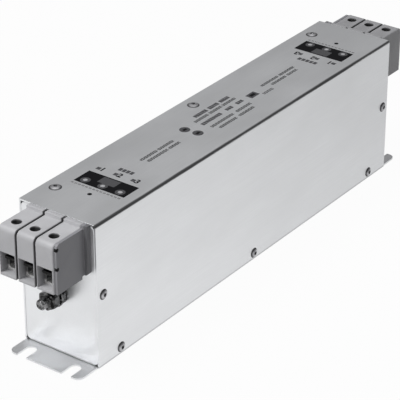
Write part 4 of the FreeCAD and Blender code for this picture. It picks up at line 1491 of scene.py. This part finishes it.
class Workshop:
    """Every finish of the filter, made once."""

    def __init__(self) -> None:
        """Make the finishes."""
        zinc = (0.82, 0.83, 0.845)
        self.fold_sheet = ZincSheet("zinc_sheet_cover", zinc).material()
        self.sheet = PlainSheet("zinc_sheet", zinc).material()
        # The rivets' metal is painted darker than the sheet, the side ones darker than the lid ones:
        # painted shade and dark reflection.
        self.lid_rivet = RivetMetal("lid_rivet_metal", (0.62, 0.62, 0.64),
                                    rim=SheetCase.lid_head[0]).material()
        self.side_rivet = RivetMetal("side_rivet_metal", (0.5, 0.5, 0.52),
                                     rim=SheetCase.side_head[0]).material()
        self.housing = HousingPlastic("housing_plastic", (0.44, 0.44, 0.455)).material()
        # The far row's housings are the same plastic, given a darker copy as painted shade.
        self.far_housing = HousingPlastic("far_housing_plastic", (0.30, 0.30, 0.31)).material()
        # The end plate is the housings' plastic, painted darker as shade on its outward face.
        self.plate = PlatePlastic("plate_plastic", (0.235, 0.235, 0.25)).material()
        self.natural = MouldedPlastic("natural_plastic", (0.72, 0.70, 0.62)).material()
        self.clamp = ClampSteel("clamp_zinc", (0.86, 0.86, 0.85)).material()
        # The contact bars and clamp screws sit deep in the housings; their near-black and dark grey
        # colours are painted shade.
        self.tinned = PlatedSteel("bar_tin", (0.03, 0.03, 0.03), rough=(0.5, 0.66)).material()
        self.screw = PlatedSteel("screw_zinc", (0.22, 0.22, 0.22)).material()
        # The stud, nuts and washers are zinc plated; their dark colours and near-black stains are
        # painted shade and painted dark reflection.
        worn = {"rough": (0.2, 0.36), "stain": 0.06, "stain_size": 3.4}
        self.stud = PlatedSteel("stud_zinc", (0.29, 0.29, 0.294), **worn).material()
        self.nut = PlatedSteel("nut_zinc", (0.15, 0.15, 0.152), **worn).material()
        self.washer = PlatedSteel("washer_zinc", (0.28, 0.28, 0.284), **worn).material()
        self.copper = DrawnCopper("link_copper", (0.78, 0.45, 0.30)).material()
        self.enamel = DrawnCopper("enamel_copper", (0.52, 0.20, 0.08), lacquer=0.6).material()
        self.ferrite = CastBlock("ferrite", (0.07, 0.07, 0.075)).material()
        self.board = Laminate("board_laminate", (0.03, 0.14, 0.06)).material()
        self.film = MouldedPlastic("liner_film", (0.78, 0.74, 0.62), grain=0.9).material()
        glossy = {"rough": (0.32, 0.46), "coat": 0.2}
        self.box = CastBlock("box_yellow", (0.72, 0.52, 0.07), **glossy).material()
        self.blue_box = CastBlock("box_blue", (0.05, 0.14, 0.42), **glossy).material()
        self.resistor = CastBlock("resistor_body", (0.50, 0.36, 0.22), pores=0.3).material()
        shades = {
            Ink.BLACK: (0.005, 0.005, 0.006),
            Ink.GREY: (0.07, 0.07, 0.074),
            Ink.FAINT: (0.19, 0.19, 0.195),
            Ink.PALE: (0.33, 0.33, 0.34),
        }
        self.inks = {ink: PrintedInk(f"ink_{ink.value}", shades[ink]).material() for ink in Ink}


@dataclass
class Lamp:
    """One soft square lamp aimed at the object; sizes are metres and the power is watts."""

    name: str
    place: Triple
    aim: Triple
    size: float
    power: float

    def build(self) -> None:
        """Hang the lamp."""
        light = bpy.data.lights.new(self.name, "AREA")
        light.shape = "SQUARE"
        light.size = self.size
        light.energy = self.power
        lamp = hang(self.name, light)
        lamp.location = self.place
        lamp.rotation_mode = "QUATERNION"
        lamp.rotation_quaternion = (Vector(self.aim) - Vector(self.place)).to_track_quat("-Z", "Y")


@dataclass
class Studio:
    """Pale ground, soft lamps, sky and the camera at the photograph's angle.

    Angles are degrees, the lens and the sensor are millimetres and the rest is metres.
    """

    azimuth: float = 36.186
    elevation: float = 28.588
    lens: float = 181.2
    sensor: float = 36.0
    place: Triple = (0.582815, -0.814272, 0.575992)
    clip: Pair = (0.01, 50.0)
    ground: float = 6.0
    ground_z: float = -0.0002
    zenith: float = 0.6
    middle: float = 0.30
    horizon: float = 0.10
    sky_marks: tuple[float, ...] = (0.0, 0.16, 0.34, 0.6, 0.95)

    def build(self) -> None:
        """Set the ground, the sky, the lamps and the camera."""
        self.lay_ground()
        self.make_sky()
        for lamp in (
            Lamp("key_front_left", (-0.7, -1.2, 2.2), (0, -0.05, 0.04), 0.9, 42.0),
            Lamp("front_fill", (0.15, -1.9, 0.35), (0, -0.15, 0.06), 0.7, 5.0),
            Lamp("top_fill", (0.1, 0.1, 1.7), (0, 0, 0.05), 1.4, 4.0),
        ):
            lamp.build()
        self.set_camera()
        bpy.context.scene.view_settings.view_transform = "Standard"

    def lay_ground(self) -> None:
        """Lay the ground plane just under the base."""
        mesh = bpy.data.meshes.new("ground")
        corners = ((-1, -1), (1, -1), (1, 1), (-1, 1))
        points = [(x * self.ground, y * self.ground, self.ground_z) for x, y in corners]
        mesh.from_pydata(points, [], [(0, 1, 2, 3)])
        give_finish(mesh, StudioPaper("ground_paper", (0.46, 0.46, 0.46)).material())
        hang("ground", mesh)

    def make_sky(self) -> None:
        """Make a sky that is white to the camera and graded for light and reflections."""
        world = bpy.data.worlds.new("studio_sky")
        bpy.context.scene.world = world
        world.use_nodes = True
        tree = world.node_tree
        sky, output = tree.nodes["Background"], tree.nodes["World Output"]
        where, parts, ramp, white, path, blend = (
            tree.nodes.new(f"ShaderNode{kind}")
            for kind in ("TexCoord", "SeparateXYZ", "ValToRGB", "Background", "LightPath", "MixShader")
        )
        levels = (self.horizon, self.horizon, self.middle, self.middle, self.zenith)
        marks = ramp.color_ramp.elements
        marks.remove(marks[1])
        for index, (place, level) in enumerate(zip(self.sky_marks, levels)):
            mark = marks.new(place) if index else marks[0]
            mark.position = place
            mark.color = (level, level, level * 1.01, 1.0)
        white.inputs["Color"].default_value = (1, 1, 1, 1)
        for source, target in (
            (where.outputs["Generated"], parts.inputs["Vector"]),
            (parts.outputs["Z"], ramp.inputs["Fac"]),
            (ramp.outputs["Color"], sky.inputs["Color"]),
            (path.outputs["Is Camera Ray"], blend.inputs[0]),
            (sky.outputs[0], blend.inputs[1]),
            (white.outputs[0], blend.inputs[2]),
            (blend.outputs[0], output.inputs["Surface"]),
        ):
            tree.links.new(source, target)

    def set_camera(self) -> None:
        """Set the camera at the photograph's angle and distance."""
        camera = bpy.data.cameras.new("camera")
        camera.lens = self.lens
        camera.sensor_width = self.sensor
        camera.clip_start, camera.clip_end = self.clip
        holder = hang("camera", camera)
        turn, lift = math.radians(self.azimuth), math.radians(self.elevation)
        back = Vector((math.sin(turn) * math.cos(lift), -math.cos(turn) * math.cos(lift),
                       math.sin(lift)))
        holder.location = self.place
        holder.rotation_mode = "QUATERNION"
        holder.rotation_quaternion = (-back).to_track_quat("-Z", "Y")
        bpy.context.scene.camera = holder


def main() -> None:
    """Build every sub-assembly in order and report each piece."""
    logging.basicConfig(level=logging.INFO, format="%(name)s %(message)s")
    shop = Workshop()
    SheetCase().build(shop)
    LidPrint().build(shop)
    for end in End:
        TerminalRow(end).build(shop)
        EarthStud(end).build(shop)
    ChokeAndCircuit().build(shop)
    Studio().build()


if __name__ == "__main__":
    main()
